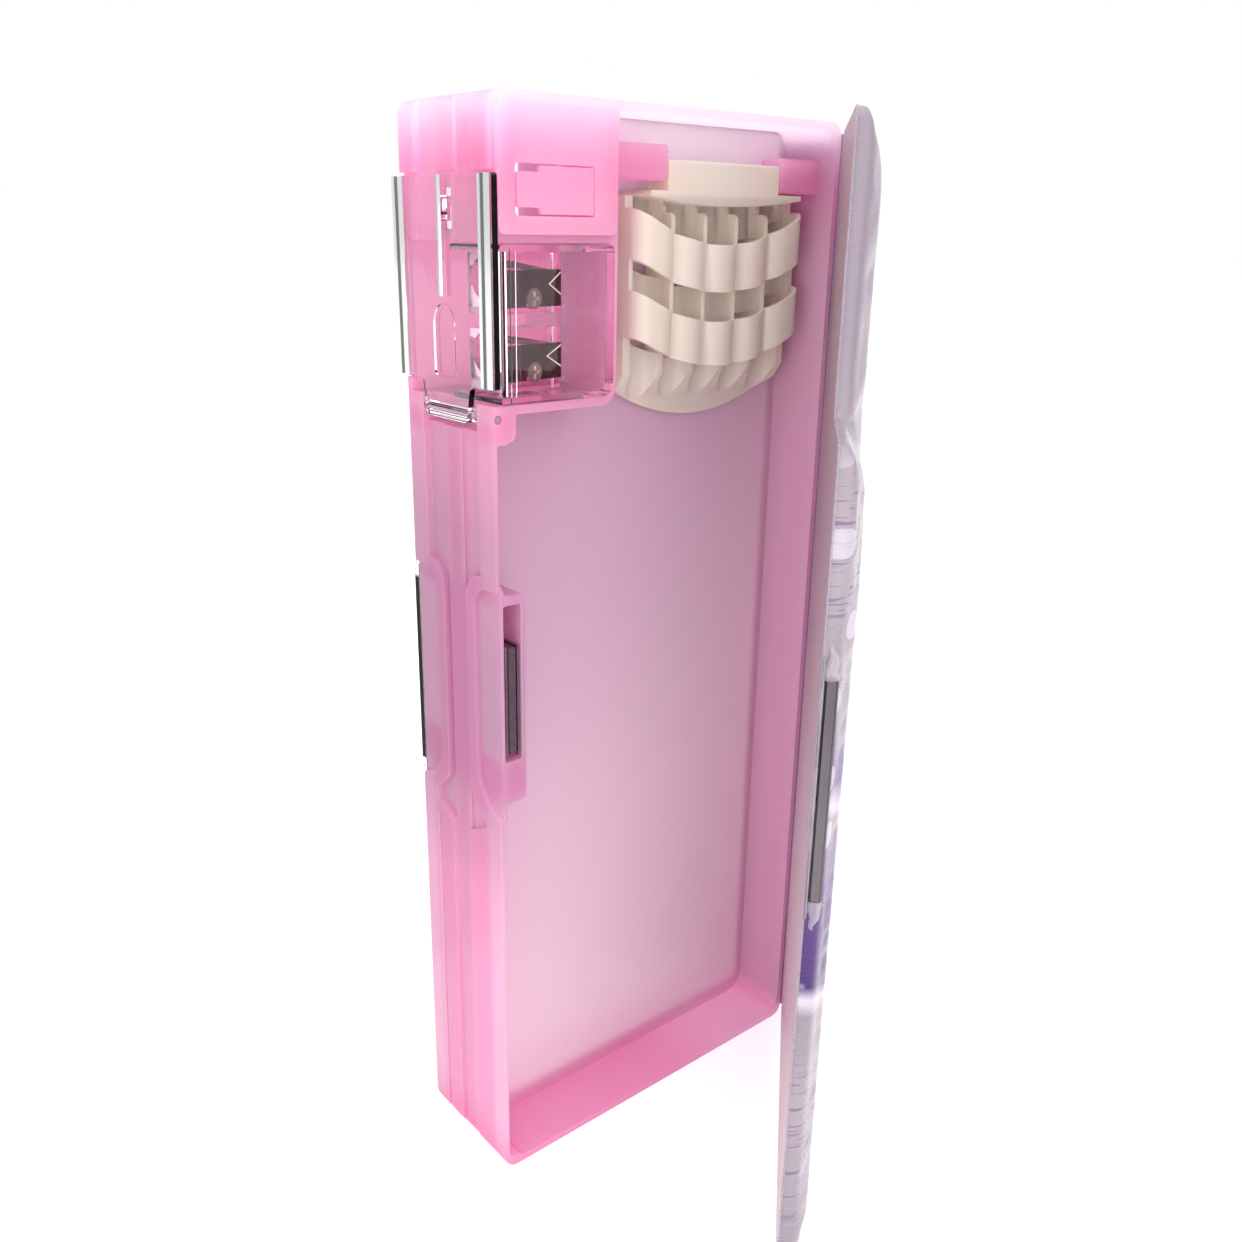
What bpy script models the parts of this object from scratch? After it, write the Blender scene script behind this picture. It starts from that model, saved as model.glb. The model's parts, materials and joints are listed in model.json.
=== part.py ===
"""Double-sided pencil case with a corner sharpener, a pencil rack and two magnetic lids.

The case stands on its short end. Sizes are in millimetres in the case frame: X runs from the
left side towards the hinge side, Y from the front rim towards the back, and Z from the
standing end upwards. MM turns them into metres.
"""

import math

import bmesh
import bpy
from mathutils import Matrix, Vector

MM = 0.001
CREASE = 35

# Case body
WIDTH = 92.3
THICK = 30.7
HEIGHT = 230.0
CORNER_R = 3.0
SIDE_WALL = 3.2
END_WALL = 1.6
TRAY_DEPTH = 14.4
TRAY_R = 5.0
CUT = 1.0

# Left side: lips, channels and centre rib
LIP = 5.6
LIP_WALL = 0.9
RIB_Y = (12.3, 18.4)
RIB_DEPTH = 0.8
CHANNEL_DEPTH = 1.5
CHANNEL_LOW = 83.4
GROOVE = 0.7
GROOVE_DEPTH = 0.7
GROOVE_Y_BACK = 24.5

# Latch notch, magnet housing and magnet
NOTCH_DEPTH = 0.9
BAND_BACK = 11.2
BAND_FRONT = 8.2
NOTCH_TOP = 140.2
NOTCH_LOW = 90.0
HOUSING_X = 6.7
HOUSING_Z = (94.0, 139.0)
POCKET_X = (1.6, 5.7)
POCKET_Z = (103.4, 137.0)
POCKET_DEPTH = 8.0
MAGNET_Z = (105.0, 128.0)
PLATE_THICK = 0.6
SEAT = 0.3

# Sharpener bay in the upper left corner
BAY_RIGHT = 27.6
BAY_WALL = 1.8
BAY_Z = (176.0, 204.8)
BAY_BACK = 29.2
NOOK_Z = (206.4, 228.4)
PROUD = 1.6
WINDOW_RIB = (3.0, -PROUD - 0.35, 5.0, 0.6)

# Clear door on the left side
DOOR_IN = 0.7
DOOR_OUT = -0.5
DOOR_Z = (179.2, 216.4)
DOOR_PIVOT = (1.2, 173.5)
DOOR_TONGUE_Z = 171.9
BARREL_R = 1.5
PIN_R = 0.7
PIN_BORE_R = 0.85
BOSS_X = 5.2
BOSS_LOW = 169.0
TRIM_THICK = 0.5
TRIM_WIDE = 4.0

# Sharpeners
SHARPENER_X = (3.6, 19.6)
SHARPENER_BACK = 12.6
SHARPENER_FACE_Y = (3.9, 6.2)
CONE_Y = 7.0
CONE_R = (3.75, 1.0)
SHARPENER_Z = {"upper": (192.1, 203.0), "lower": (177.8, 189.4)}
BLADE_LOW = {"upper": 193.3, "lower": 179.8}
BLADE_TALL = 6.7
BLADE_LONG = 15.0
BLADE_THICK = 0.6
SCREW_ALONG = 7.4
SCREW_UP = 1.6
SCREW_R = 0.6
SCREW_HEAD_R = 1.9

# Button housing and its tongue
BUTTON_X = (1.0, 27.9)
BUTTON_Z = (206.2, 228.2)
BUTTON_WALL = 1.3
TONGUE_X = (5.0, 22.2)
TONGUE_Z = (209.7, 217.9)
TONGUE_NECK_X = 10.1
TONGUE_NECK = 1.1
SLIT = 0.3

# Pencil rack
RACK_X = 62.3
LOOPS = 5
PITCH = 9.1
RACK_HALF = 24.3
RACK_FRONT = 3.4
RACK_BACK = 13.6
BAND_WALL = 1.05
GROOVE_R = 4.0
GROOVE_Y = 8.6
SCALLOP = 2.0
BAND_BEND = 3.6
FIN = 1.0
FIN_FRONT = 5.7
FIN_TOP = 210.8
SMILE = 0.97
UPPER_BAND = (194.9, 204.5)
LOWER_BAND = (179.6, 188.8)
CHIN = 168.3
FLANGE_LOW = 212.2
FLANGE_TOP = 214.8
FLANGE_SMILE = 0.28
BLOCK_X = (46.0, 78.0)
BLOCK_Z = 220.8
RACK_AXIS = (7.5, 219.0)
RACK_PIN_R = 1.15
RACK_BORE_R = 1.45

# Lids, strikers and spine
LID_FREE = 2.9
LID_HINGE_GAP = 1.0
LID_Z = (2.5, 227.8)
LID_CUT_X = 30.7
LID_CUT_Z = 175.2
LID_GAP = 0.4
BOARD = 1.1
PAD_RINGS = (
    (0.5, 0.5, 0.0), (0.0, 0.0, 0.6), (0.4, 1.7, 1.6), (1.5, 3.4, 2.6),
    (3.4, 5.6, 3.3), (6.5, 9.0, 3.7), (12.0, 14.5, 3.9),
)
STRIKER_Z = (92.4, 135.8)
STRIKER_Y = (-3.5, -1.2)
STRIKER_THICK = 1.0
HINGE_X = WIDTH + 0.4
HINGE_Y = -1.6
FRONT_LID_OPEN = 42.0
SPINE_X = (WIDTH + 0.3, WIDTH + 1.5)
WELT_R = 1.1


# Scene helpers


def clear_scene():
    """Remove every object, so that only this model is left."""
    for obj in list(bpy.data.objects):
        bpy.data.objects.remove(obj, do_unlink=True)


def finish(name, colour, roughness, metallic=0.0, alpha=1.0):
    """Make a Principled material in the piece's colour."""
    mat = bpy.data.materials.new(name)
    mat.use_nodes = True
    shader = mat.node_tree.nodes["Principled BSDF"]
    shader.inputs["Base Color"].default_value = (*colour, 1.0)
    shader.inputs["Roughness"].default_value = roughness
    shader.inputs["Metallic"].default_value = metallic
    shader.inputs["Alpha"].default_value = alpha
    mat.diffuse_color = (*colour, alpha)
    return mat


class Frame:
    """An empty that pieces are parented to, standing at a point of the case frame."""

    def __init__(self, name, point, parent=None, turn=0.0):
        self.point = Vector(point)
        self.empty = bpy.data.objects.new(name, None)
        bpy.context.collection.objects.link(self.empty)
        if parent is None:
            self.empty.location = Vector((-WIDTH / 2, -THICK / 2, 0)) * MM
        else:
            self.empty.parent = parent.empty
            self.empty.location = (self.point - parent.point) * MM
        self.empty.rotation_euler = (0, 0, math.radians(turn))


def smooth_by_angle():
    """Node group that shades faces smooth and keeps the edges sharper than CREASE."""
    group = bpy.data.node_groups.new("smooth_by_angle", "GeometryNodeTree")
    group.interface.new_socket("Geometry", in_out="INPUT", socket_type="NodeSocketGeometry")
    group.interface.new_socket("Geometry", in_out="OUTPUT", socket_type="NodeSocketGeometry")
    start = group.nodes.new("NodeGroupInput")
    end = group.nodes.new("NodeGroupOutput")
    angle = group.nodes.new("GeometryNodeInputMeshEdgeAngle")
    shallow = group.nodes.new("FunctionNodeCompare")
    shallow.operation = "LESS_THAN"
    shallow.inputs["B"].default_value = math.radians(CREASE)
    faces = group.nodes.new("GeometryNodeSetShadeSmooth")
    edges = group.nodes.new("GeometryNodeSetShadeSmooth")
    edges.domain = "EDGE"
    group.links.new(angle.outputs["Unsigned Angle"], shallow.inputs["A"])
    group.links.new(start.outputs[0], faces.inputs["Geometry"])
    group.links.new(faces.outputs[0], edges.inputs["Geometry"])
    group.links.new(shallow.outputs[0], edges.inputs["Shade Smooth"])
    group.links.new(edges.outputs[0], end.inputs[0])
    return group


def shade_pieces():
    """Shade every finished piece by angle, with the flat faces kept flat."""
    group = smooth_by_angle()
    for obj in bpy.data.objects:
        if obj.type == "MESH" and not obj.hide_render:
            obj.modifiers.new("smooth_by_angle", "NODES").node_group = group
            obj.modifiers.new("flat_faces", "WEIGHTED_NORMAL").keep_sharp = True


def piece(name, bm, mat, frame):
    """Turn a mesh in case millimetres into an object under its frame."""
    bmesh.ops.remove_doubles(bm, verts=bm.verts, dist=1e-5)
    bmesh.ops.recalc_face_normals(bm, faces=bm.faces)
    bmesh.ops.translate(bm, verts=bm.verts, vec=-frame.point)
    bmesh.ops.scale(bm, verts=bm.verts, vec=(MM, MM, MM))
    mesh = bpy.data.meshes.new(name)
    bm.to_mesh(mesh)
    bm.free()
    obj = bpy.data.objects.new(name, mesh)
    bpy.context.collection.objects.link(obj)
    obj.parent = frame.empty
    if mat:
        mesh.materials.append(mat)
    return obj


def tool(bm, frame):
    """Make a hidden wire object that cuts or joins another."""
    obj = piece("tool", bm, None, frame)
    obj.hide_render = True
    obj.display_type = "WIRE"
    return obj


def boolean(obj, operand, operation):
    """Put a Boolean modifier on an object."""
    mod = obj.modifiers.new(operation.lower(), "BOOLEAN")
    mod.operation = operation
    mod.object = operand
    mod.solver = "EXACT"


def cut(obj, frame, *meshes):
    """Take meshes out of an object."""
    for bm in meshes:
        boolean(obj, tool(bm, frame), "DIFFERENCE")


def join(obj, frame, *meshes):
    """Fuse meshes with an object."""
    for bm in meshes:
        boolean(obj, tool(bm, frame), "UNION")


# Shape helpers


def rounded(corners, steps=3):
    """Outline through (u, v, radius) corners, each turned into an arc."""
    points = []
    count = len(corners)
    for i, (u, v, radius) in enumerate(corners):
        here = Vector((u, v))
        if radius <= 0:
            points.append(here)
            continue
        before = (Vector(corners[i - 1][:2]) - here).normalized()
        after = (Vector(corners[(i + 1) % count][:2]) - here).normalized()
        half = before.angle(after) / 2
        reach = radius / math.tan(half)
        centre = here + (before + after).normalized() * radius / math.sin(half)
        start = here + before * reach - centre
        sweep = start.angle_signed(here + after * reach - centre)
        for k in range(steps + 1):
            turn = Matrix.Rotation(-sweep * k / steps, 2)
            points.append(centre + turn @ start)
    return points


def rectangle(u0, v0, u1, v1, radius=0.0, steps=3):
    """Rectangle outline with round corners."""
    return rounded([(u0, v0, radius), (u1, v0, radius), (u1, v1, radius), (u0, v1, radius)], steps)


def place(axis, u, v, along):
    """Point whose outline coordinates are u and v, at a distance along the axis."""
    if axis == "X":
        return Vector((along, u, v))
    if axis == "Y":
        return Vector((u, along, v))
    return Vector((u, v, along))


def loft(rings):
    """Closed mesh through rings of equal length, with flat ends."""
    bm = bmesh.new()
    loops = [[bm.verts.new(point) for point in ring] for ring in rings]
    count = len(loops[0])
    for low, high in zip(loops, loops[1:]):
        for i in range(count):
            k = (i + 1) % count
            bm.faces.new((low[i], low[k], high[k], high[i]))
    bm.faces.new(loops[0])
    bm.faces.new(loops[-1])
    return bm


def prism(outline, axis, low, high):
    """Extrude an outline along an axis: YZ for X, XZ for Y and XY for Z."""
    return loft([[place(axis, u, v, along) for u, v in outline] for along in (low, high)])


def box(x, y, z):
    """Box between three pairs of limits."""
    return prism(rectangle(x[0], y[0], x[1], y[1]), "Z", *z)


def frustum(axis, centre, radii, low, high, sides=20):
    """Round bar along an axis, with a radius at each end."""
    rings = []
    for radius, along in zip(radii, (low, high)):
        turns = [2 * math.pi * k / sides for k in range(sides)]
        ring = [(centre[0] + radius * math.cos(t), centre[1] + radius * math.sin(t)) for t in turns]
        rings.append([place(axis, u, v, along) for u, v in ring])
    return loft(rings)


def rod(axis, centre, radius, low, high, sides=16):
    """Round bar of one radius."""
    return frustum(axis, centre, (radius, radius), low, high, sides)


def to_back(bm):
    """Mirror a mesh from the front half of the case to the back half."""
    bmesh.ops.transform(bm, verts=bm.verts, matrix=Matrix.Scale(-1, 4, (0, 1, 0)))
    bmesh.ops.translate(bm, verts=bm.verts, vec=(0, THICK, 0))
    return bm


# Case body


def tray_outline():
    """Outline of a tray, going round the sharpener corner, the pivot boss and the magnet housing."""
    right = WIDTH - END_WALL
    top = HEIGHT - END_WALL
    bay_right = BAY_RIGHT + BAY_WALL
    bay_low = BAY_Z[0] - BAY_WALL
    return rounded([
        (SIDE_WALL, END_WALL, TRAY_R / 2), (right, END_WALL, TRAY_R), (right, top, TRAY_R),
        (bay_right, top, 1.0), (bay_right, bay_low, 3.5), (BOSS_X, bay_low, 0.5),
        (BOSS_X, BOSS_LOW, 1.5), (SIDE_WALL, BOSS_LOW, 0.2), (SIDE_WALL, HOUSING_Z[1], 0.3),
        (HOUSING_X, HOUSING_Z[1], 1.0), (HOUSING_X, HOUSING_Z[0], 1.0), (SIDE_WALL, HOUSING_Z[0], 0.3),
    ])


def channel_outline():
    """Channel between the front lip and the centre rib, pinched where the lip bends round the notch."""
    return rounded([
        (LIP, HEIGHT + CUT, 0), (RIB_Y[0], HEIGHT + CUT, 0), (RIB_Y[0], CHANNEL_LOW, 0.5),
        (LIP, CHANNEL_LOW + 3.2, 0.5), (LIP, NOTCH_LOW - 1.8, 1.2),
        (BAND_BACK, NOTCH_LOW + 3.4, 4.0), (BAND_BACK, NOTCH_TOP + 1.2, 5.4), (LIP, NOTCH_TOP + 2.2, 0),
    ], 5)


def lip_reliefs():
    """Outlines of the hollows behind a lip, which leave a thin wall above, below and behind the notch."""
    inner = SIDE_WALL + 1.0
    step = LIP_WALL + NOTCH_DEPTH
    below, above = NOTCH_LOW - 0.4, NOTCH_TOP + 0.6
    low = END_WALL + 1.2
    return (
        rounded([
            (LIP_WALL, low, 1.8), (inner, low, 0), (inner, below + 0.8, 0),
            (step, below + 0.8, 0), (LIP_WALL, below - 0.8, 0.4),
        ]),
        rounded([
            (LIP_WALL, above + 0.8, 0.4), (step, above - 0.8, 0), (inner, above - 0.8, 0),
            (inner, BOSS_LOW - 0.4, 0), (LIP_WALL, BOSS_LOW - 0.4, 0.4),
        ]),
        rectangle(step, below - 0.6, inner, HOUSING_Z[0] - 0.2, 0.4),
        rectangle(step, HOUSING_Z[1] + 0.2, inner, above + 0.6, 0.4),
    )


def notch_outline():
    """Shallow seat in front of the bent lip, where the striker closes."""
    return rounded([
        (-CUT, NOTCH_TOP, 0), (BAND_FRONT, NOTCH_TOP - 0.9, 4.4), (BAND_FRONT, NOTCH_LOW + 7.2, 5.0),
        (4.0, NOTCH_LOW + 2.2, 4.0), (-CUT, NOTCH_LOW - 0.1, 0),
    ], 5)


def body_shell(mat, case):
    """Pink moulding: two trays back to back round a partition, with the sharpener bay in one corner."""
    shell = piece("body_shell", prism(rectangle(0, 0, WIDTH, HEIGHT, CORNER_R), "Y", 0, THICK), mat, case)
    nook = rectangle(SIDE_WALL, NOOK_Z[0], BAY_RIGHT, NOOK_Z[1], 0.8)
    bay = rounded([
        (-CUT, BAY_Z[0], 0), (BAY_RIGHT, BAY_Z[0], 2.5), (BAY_RIGHT, BAY_Z[1], 0.8), (-CUT, BAY_Z[1], 0),
    ])
    pocket = rectangle(POCKET_X[0], POCKET_Z[0], POCKET_X[1], POCKET_Z[1], 0.4)
    cut(shell, case, prism(bay, "Y", -CUT, BAY_BACK), prism(nook, "Y", -CUT, THICK + CUT))
    for turn in (lambda bm: bm, to_back):
        cut(
            shell, case,
            turn(prism(tray_outline(), "Y", -CUT, TRAY_DEPTH)),
            *[turn(prism(outline, "Y", -CUT, LIP - LIP_WALL)) for outline in lip_reliefs()],
            turn(prism(channel_outline(), "X", -CUT, CHANNEL_DEPTH)),
            turn(prism(notch_outline(), "X", -CUT, NOTCH_DEPTH)),
            turn(prism(pocket, "Y", -CUT, POCKET_DEPTH)),
        )
    rib = box((-CUT, RIB_DEPTH), (RIB_Y[0] - 0.2, RIB_Y[1] + 0.2), (-CUT, HEIGHT + CUT))
    low_end = (-CUT, CHANNEL_LOW - CUT)
    rib_edge = (RIB_Y[0], RIB_Y[0] + GROOVE)
    back_edge = (GROOVE_Y_BACK - GROOVE / 2, GROOVE_Y_BACK + GROOVE / 2)
    cut(
        shell, case, rib,
        box((-CUT, RIB_DEPTH + GROOVE_DEPTH), rib_edge, low_end), box((-CUT, GROOVE_DEPTH), back_edge, low_end),
    )
    cut_door_seat(shell, case)
    add_rack_bearings(shell, case)


def cut_door_seat(shell, case):
    """Seat of the clear door: a flat, a well for its barrel, the pin's bore and the catch's slot."""
    flat = box((-CUT, DOOR_IN + 0.3), (-CUT, THICK + CUT), (DOOR_Z[0] - 0.6, DOOR_Z[1] + 0.6))
    well = box((-CUT, BOSS_X - 1.4), (LIP, THICK - LIP), (BOSS_LOW + 1.4, BAY_Z[0] + 0.5))
    bore = rod("Y", DOOR_PIVOT, PIN_BORE_R, -CUT, THICK + CUT, 18)
    slot = box((-CUT, BOSS_X), (12.9, 17.8), (207.0, 214.2))
    cut(shell, case, flat, well, bore, slot)


def add_rack_bearings(shell, case):
    """Boss and bracket that carry the rack's two pins."""
    y = (RACK_AXIS[0] - 3.3, RACK_AXIS[0] + 2.9)
    boss_x = (BAY_RIGHT + 0.5, BLOCK_X[0] - 0.5)
    bracket_x = (BLOCK_X[1] + 0.5, WIDTH - 0.5)
    boss = prism(rectangle(y[0], 216.6, y[1], 223.4, 0.8), "X", *boss_x)
    bracket = prism(rectangle(y[0], 215.4, y[1], 222.4, 0.8), "X", *bracket_x)
    join(shell, case, boss, bracket)
    bore_left = rod("X", RACK_AXIS, RACK_BORE_R, boss_x[1] - 4.5, boss_x[1] + CUT)
    bore_right = rod("X", RACK_AXIS, RACK_BORE_R, bracket_x[0] - CUT, bracket_x[0] + 4.5)
    cut(shell, case, bore_left, bore_right)


def latch_magnet(side, turn, mats, case):
    """Ferrite bar between two steel plates, in the housing behind the notch."""
    y = (0.3, POCKET_DEPTH - 0.6)
    outer = (POCKET_X[0] + SEAT, POCKET_X[0] + SEAT + PLATE_THICK)
    inner = (POCKET_X[1] - SEAT - PLATE_THICK, POCKET_X[1] - SEAT)
    middle = (outer[1] + SEAT, inner[0] - SEAT)
    plate_z = (MAGNET_Z[0] - 0.8, MAGNET_Z[1] + 0.4)
    piece(side + "_magnet", turn(box(middle, y, MAGNET_Z)), mats["ferrite"], case)
    for name, x in (("outer", outer), ("inner", inner)):
        plate = prism(rectangle(x[0], plate_z[0], x[1], plate_z[1], 0.2, 2), "Y", *y)
        piece(f"{side}_magnet_plate_{name}", turn(plate), mats["steel"], case)


# Sharpener corner


def sharpener_case(mat, case):
    """Clear box of the sharpener bay: window, floor, roof and right wall, open to the left and the back."""
    wall = 1.2
    x = (DOOR_IN + SEAT, BAY_RIGHT - SEAT)
    z = (BAY_Z[0] + SEAT, BAY_Z[1] - SEAT)
    outer = rounded([(x[0], z[0], 0.6), (x[1], z[0], 2.4), (x[1], z[1], 0.8), (x[0], z[1], 0.6)])
    inner = rounded([
        (-CUT, z[0] + wall, 0), (x[1] - wall, z[0] + wall, 1.6),
        (x[1] - wall, z[1] - wall, 0.5), (-CUT, z[1] - wall, 0),
    ])
    clear = piece("sharpener_case", prism(outer, "Y", -PROUD, TRAY_DEPTH - 0.6), mat, case)
    cut(clear, case, prism(inner, "Y", 0, TRAY_DEPTH))
    join(clear, case, prism(rectangle(*WINDOW_RIB, 0.2, 2), "Z", z[0] + 0.4, z[1] - 0.4))


def face_matrix(low):
    """Frame on a sharpener's slanted face: X along it, Y out of it and Z up from the blade's lower edge."""
    start = Vector((SHARPENER_X[0], SHARPENER_FACE_Y[0], low))
    along = Vector((SHARPENER_X[1], SHARPENER_FACE_Y[1], low)) - start
    return Matrix.Translation(start) @ Matrix.Rotation(math.atan2(along.y, along.x), 4, "Z")


def on_face(bm, low):
    """Move a mesh from the frame of a sharpener's face to the case frame."""
    bmesh.ops.transform(bm, verts=bm.verts, matrix=face_matrix(low))
    return bm


def sharpener(name, mats, case):
    """Wedge block with a conical hole, and a blade held on its slanted face by a screw."""
    low = BLADE_LOW[name]
    cone_z = low + 5.3
    wedge = rounded([
        (SHARPENER_X[0], SHARPENER_FACE_Y[0], 0), (SHARPENER_X[1], SHARPENER_FACE_Y[1], 0),
        (SHARPENER_X[1], SHARPENER_BACK, 1.0), (SHARPENER_X[0], SHARPENER_BACK, 1.0),
    ])
    block = piece("sharpener_body_" + name, prism(wedge, "Z", *SHARPENER_Z[name]), mats["clear"], case)
    slope = (CONE_R[0] - CONE_R[1]) / (SHARPENER_X[1] - SHARPENER_X[0])
    radii = (CONE_R[0] + slope * CUT, CONE_R[1] - slope * CUT)
    cone = frustum("X", (CONE_Y, cone_z), radii, SHARPENER_X[0] - CUT, SHARPENER_X[1] + CUT, 24)
    screw_at = (SCREW_ALONG, SCREW_UP)
    bore = on_face(rod("Y", screw_at, SCREW_R + 0.3, -CUT, 3.4), low)
    cut(block, case, cone, bore)
    skin = (-SEAT - BLADE_THICK, -SEAT)
    blade = on_face(prism(rectangle(0.6, 0, 0.6 + BLADE_LONG, BLADE_TALL, 0.2, 2), "Y", *skin), low)
    steel = piece("blade_" + name, blade, mats["steel"], case)
    cut(steel, case, on_face(rod("Y", screw_at, SCREW_R + 0.35, skin[0] - CUT, skin[1] + CUT), low))
    head_y = (skin[0] - SEAT - 0.9, skin[0] - SEAT)
    head = on_face(rod("Y", screw_at, SCREW_HEAD_R, *head_y, 20), low)
    screw = piece("blade_screw_" + name, head, mats["screw"], case)
    join(screw, case, on_face(rod("Y", screw_at, SCREW_R, head_y[1] - 0.3, 2.8), low))
    slots = [(0.32, 1.3), (1.3, 0.32)]
    for wide, tall in slots:
        x = (screw_at[0] - wide, screw_at[0] + wide)
        z = (screw_at[1] - tall, screw_at[1] + tall)
        cut(screw, case, on_face(box(x, (head_y[0] - CUT, head_y[0] + 0.4), z), low))


def strip_profile(x, near, far, steps=8):
    """Plan of a plated strip: flat towards the door and crowned outwards."""
    points = [(x[1], near), (x[1], far)]
    for k in range(steps + 1):
        share = 1 - 2 * k / steps
        points.append((x[0] + (x[1] - x[0]) * 0.75 * share ** 2, (near + far) / 2 + share * (far - near) / 2))
    return points


def sharpener_door(mats, door):
    """Clear side cover on a lower pin, with a catch at the top and chrome strips down its edges."""
    y = (-PROUD, THICK + PROUD)
    tongue = (LIP + 1.2, THICK - LIP - 1.2)
    outline = rounded([
        (y[0], DOOR_Z[0], 0.6), (tongue[0], DOOR_Z[0] - 0.4, 1.0), (tongue[0] + 1.4, DOOR_TONGUE_Z, 1.0),
        (tongue[1] - 1.4, DOOR_TONGUE_Z, 1.0), (tongue[1], DOOR_Z[0] - 0.4, 1.0), (y[1], DOOR_Z[0], 0.6),
        (y[1], DOOR_Z[1], 0.6), (y[0], DOOR_Z[1], 0.6),
    ])
    plate = piece("sharpener_door", prism(outline, "X", DOOR_OUT, DOOR_IN), mats["clear"], door)
    barrel_y = (tongue[0] + 1.6, tongue[1] - 1.6)
    web_z = (DOOR_PIVOT[1] - 1.2, DOOR_PIVOT[1] + 1.2)
    catch = rounded([
        (DOOR_IN - 0.4, 208.4, 0), (4.4, 208.4, 0.3), (4.4, 209.6, 0.3), (3.0, 209.9, 0.3),
        (2.2, 212.4, 0.5), (DOOR_IN - 0.4, 212.9, 0),
    ])
    join(
        plate, door,
        rod("Y", DOOR_PIVOT, BARREL_R, *barrel_y, 20),
        box((DOOR_OUT + 0.3, DOOR_PIVOT[0]), barrel_y, web_z),
        prism(catch, "Y", 13.8, 16.9),
    )
    arch = rounded([(11.6, 180.0, 1.0), (19.1, 180.0, 1.0), (19.1, 193.6, 3.6), (11.6, 193.6, 3.6)], 5)
    cut(
        plate, door,
        rod("Y", DOOR_PIVOT, PIN_BORE_R, y[0], y[1]),
        prism(arch, "X", DOOR_OUT - CUT, DOOR_OUT + 0.4),
    )
    strip_x = (DOOR_OUT - SEAT - TRIM_THICK, DOOR_OUT - SEAT)
    strips = {
        "front": (y[0], y[0] + TRIM_WIDE, DOOR_Z[0] + 0.1),
        "back": (y[1] - TRIM_WIDE, y[1], DOOR_Z[0] + 0.1),
        "centre": (THICK / 2 - 0.7, THICK / 2 + 0.7, 195.0),
    }
    for name, (near, far, low) in strips.items():
        strip = prism(strip_profile(strip_x, near, far), "Z", low, DOOR_Z[1] - 0.1)
        piece("door_trim_" + name, strip, mats["chrome"], door)


def tongue_outline(gap):
    """Finger tongue, narrower at its free end, grown by a gap."""
    neck = (TONGUE_Z[0] + TONGUE_NECK, TONGUE_Z[1] - TONGUE_NECK)
    if gap:
        neck = TONGUE_Z
    left, right = TONGUE_X[0] - gap * 1.6, TONGUE_X[1] + gap
    low, high = TONGUE_Z[0] - gap, TONGUE_Z[1] + gap
    return rounded([
        (left, neck[0] - gap, 0.8), (TONGUE_NECK_X, neck[0] - gap, 0), (TONGUE_NECK_X + 0.1, low, 0),
        (right, low, 0.3), (right, high, 0.3), (TONGUE_NECK_X + 0.1, high, 0),
        (TONGUE_NECK_X, neck[1] + gap, 0), (left, neck[1] + gap, 0.8),
    ])


def button_housing(mat, case, hinge):
    """Corner block over the nook, with the finger tongue in its face."""
    face = rectangle(BUTTON_X[0], BUTTON_Z[0], BUTTON_X[1], BUTTON_Z[1], 1.4)
    block = piece("button_housing", prism(face, "Y", -PROUD, -SEAT), mat, case)
    x = (SIDE_WALL + SEAT, BAY_RIGHT - SEAT)
    z = (NOOK_Z[0] + SEAT, NOOK_Z[1] - SEAT)
    walls = rectangle(x[0], z[0], x[1], z[1], 0.8)
    hollow = rectangle(x[0] + BUTTON_WALL, z[0] + BUTTON_WALL, x[1] - BUTTON_WALL, z[1] - BUTTON_WALL, 0.5)
    join(block, case, prism(walls, "Y", -SEAT - 0.4, TRAY_DEPTH - 0.5))
    cut(block, case, prism(hollow, "Y", -SEAT, TRAY_DEPTH))
    cut(block, case, prism(tongue_outline(SLIT), "Y", -PROUD - CUT, CUT))
    cut(block, case, box((0, x[0] + 1.6), (12.6, 18.0), (206.8, 214.6)))
    piece("release_tongue", prism(tongue_outline(0), "Y", -PROUD, -SEAT), mat, hinge)


# Pencil rack


def smile(x, level, rise=SMILE):
    """Height of an edge that sags towards the middle of the rack."""
    return level + rise * ((x - RACK_X) / PITCH) ** 2


def smile_line(half, level, rise=SMILE, steps=14):
    """Points of a sagging edge, from left to right."""
    xs = [RACK_X - half + 2 * half * k / steps for k in range(steps + 1)]
    return [(x, smile(x, level, rise)) for x in xs]


def smile_strip(half, low, high):
    """Elevation outline between two sagging edges."""
    return smile_line(half, low) + list(reversed(smile_line(half, high)))


def band_edge(inset, steps=5):
    """Plan points of a band from its left end to its right end: round ends and one scallop a loop."""
    half, front, bend = RACK_HALF - inset, RACK_FRONT + inset, BAND_BEND - inset
    radius = (PITCH ** 2 / 4 + SCALLOP ** 2) / (2 * SCALLOP)
    sweep = math.asin(PITCH / 2 / radius)
    turns = [math.pi / 2 * k / steps for k in range(steps + 1)]
    left = [(bend * (1 - math.cos(t)) - half, front + bend * (1 - math.sin(t))) for t in turns]
    middle = []
    for i in range(LOOPS):
        first = 0 if i == 0 else -steps
        last = 0 if i == LOOPS - 1 else steps
        for k in range(first, last + 1, 2 if last > first + steps else 1):
            turn = sweep * k / steps
            x = (i - (LOOPS - 1) / 2) * PITCH + radius * math.sin(turn)
            middle.append((x, front + radius * (1 - math.cos(turn))))
    right = [(-x, y) for x, y in reversed(left)]
    back = GROOVE_Y + 1.2
    points = [(-half, back)] + left + middle + right + [(half, back)]
    return [(RACK_X + x, y) for x, y in points]


def band_outline():
    """Plan of a band: a strip of even wall from one end round the front to the other."""
    return band_edge(0.0) + list(reversed(band_edge(BAND_WALL)))


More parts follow.
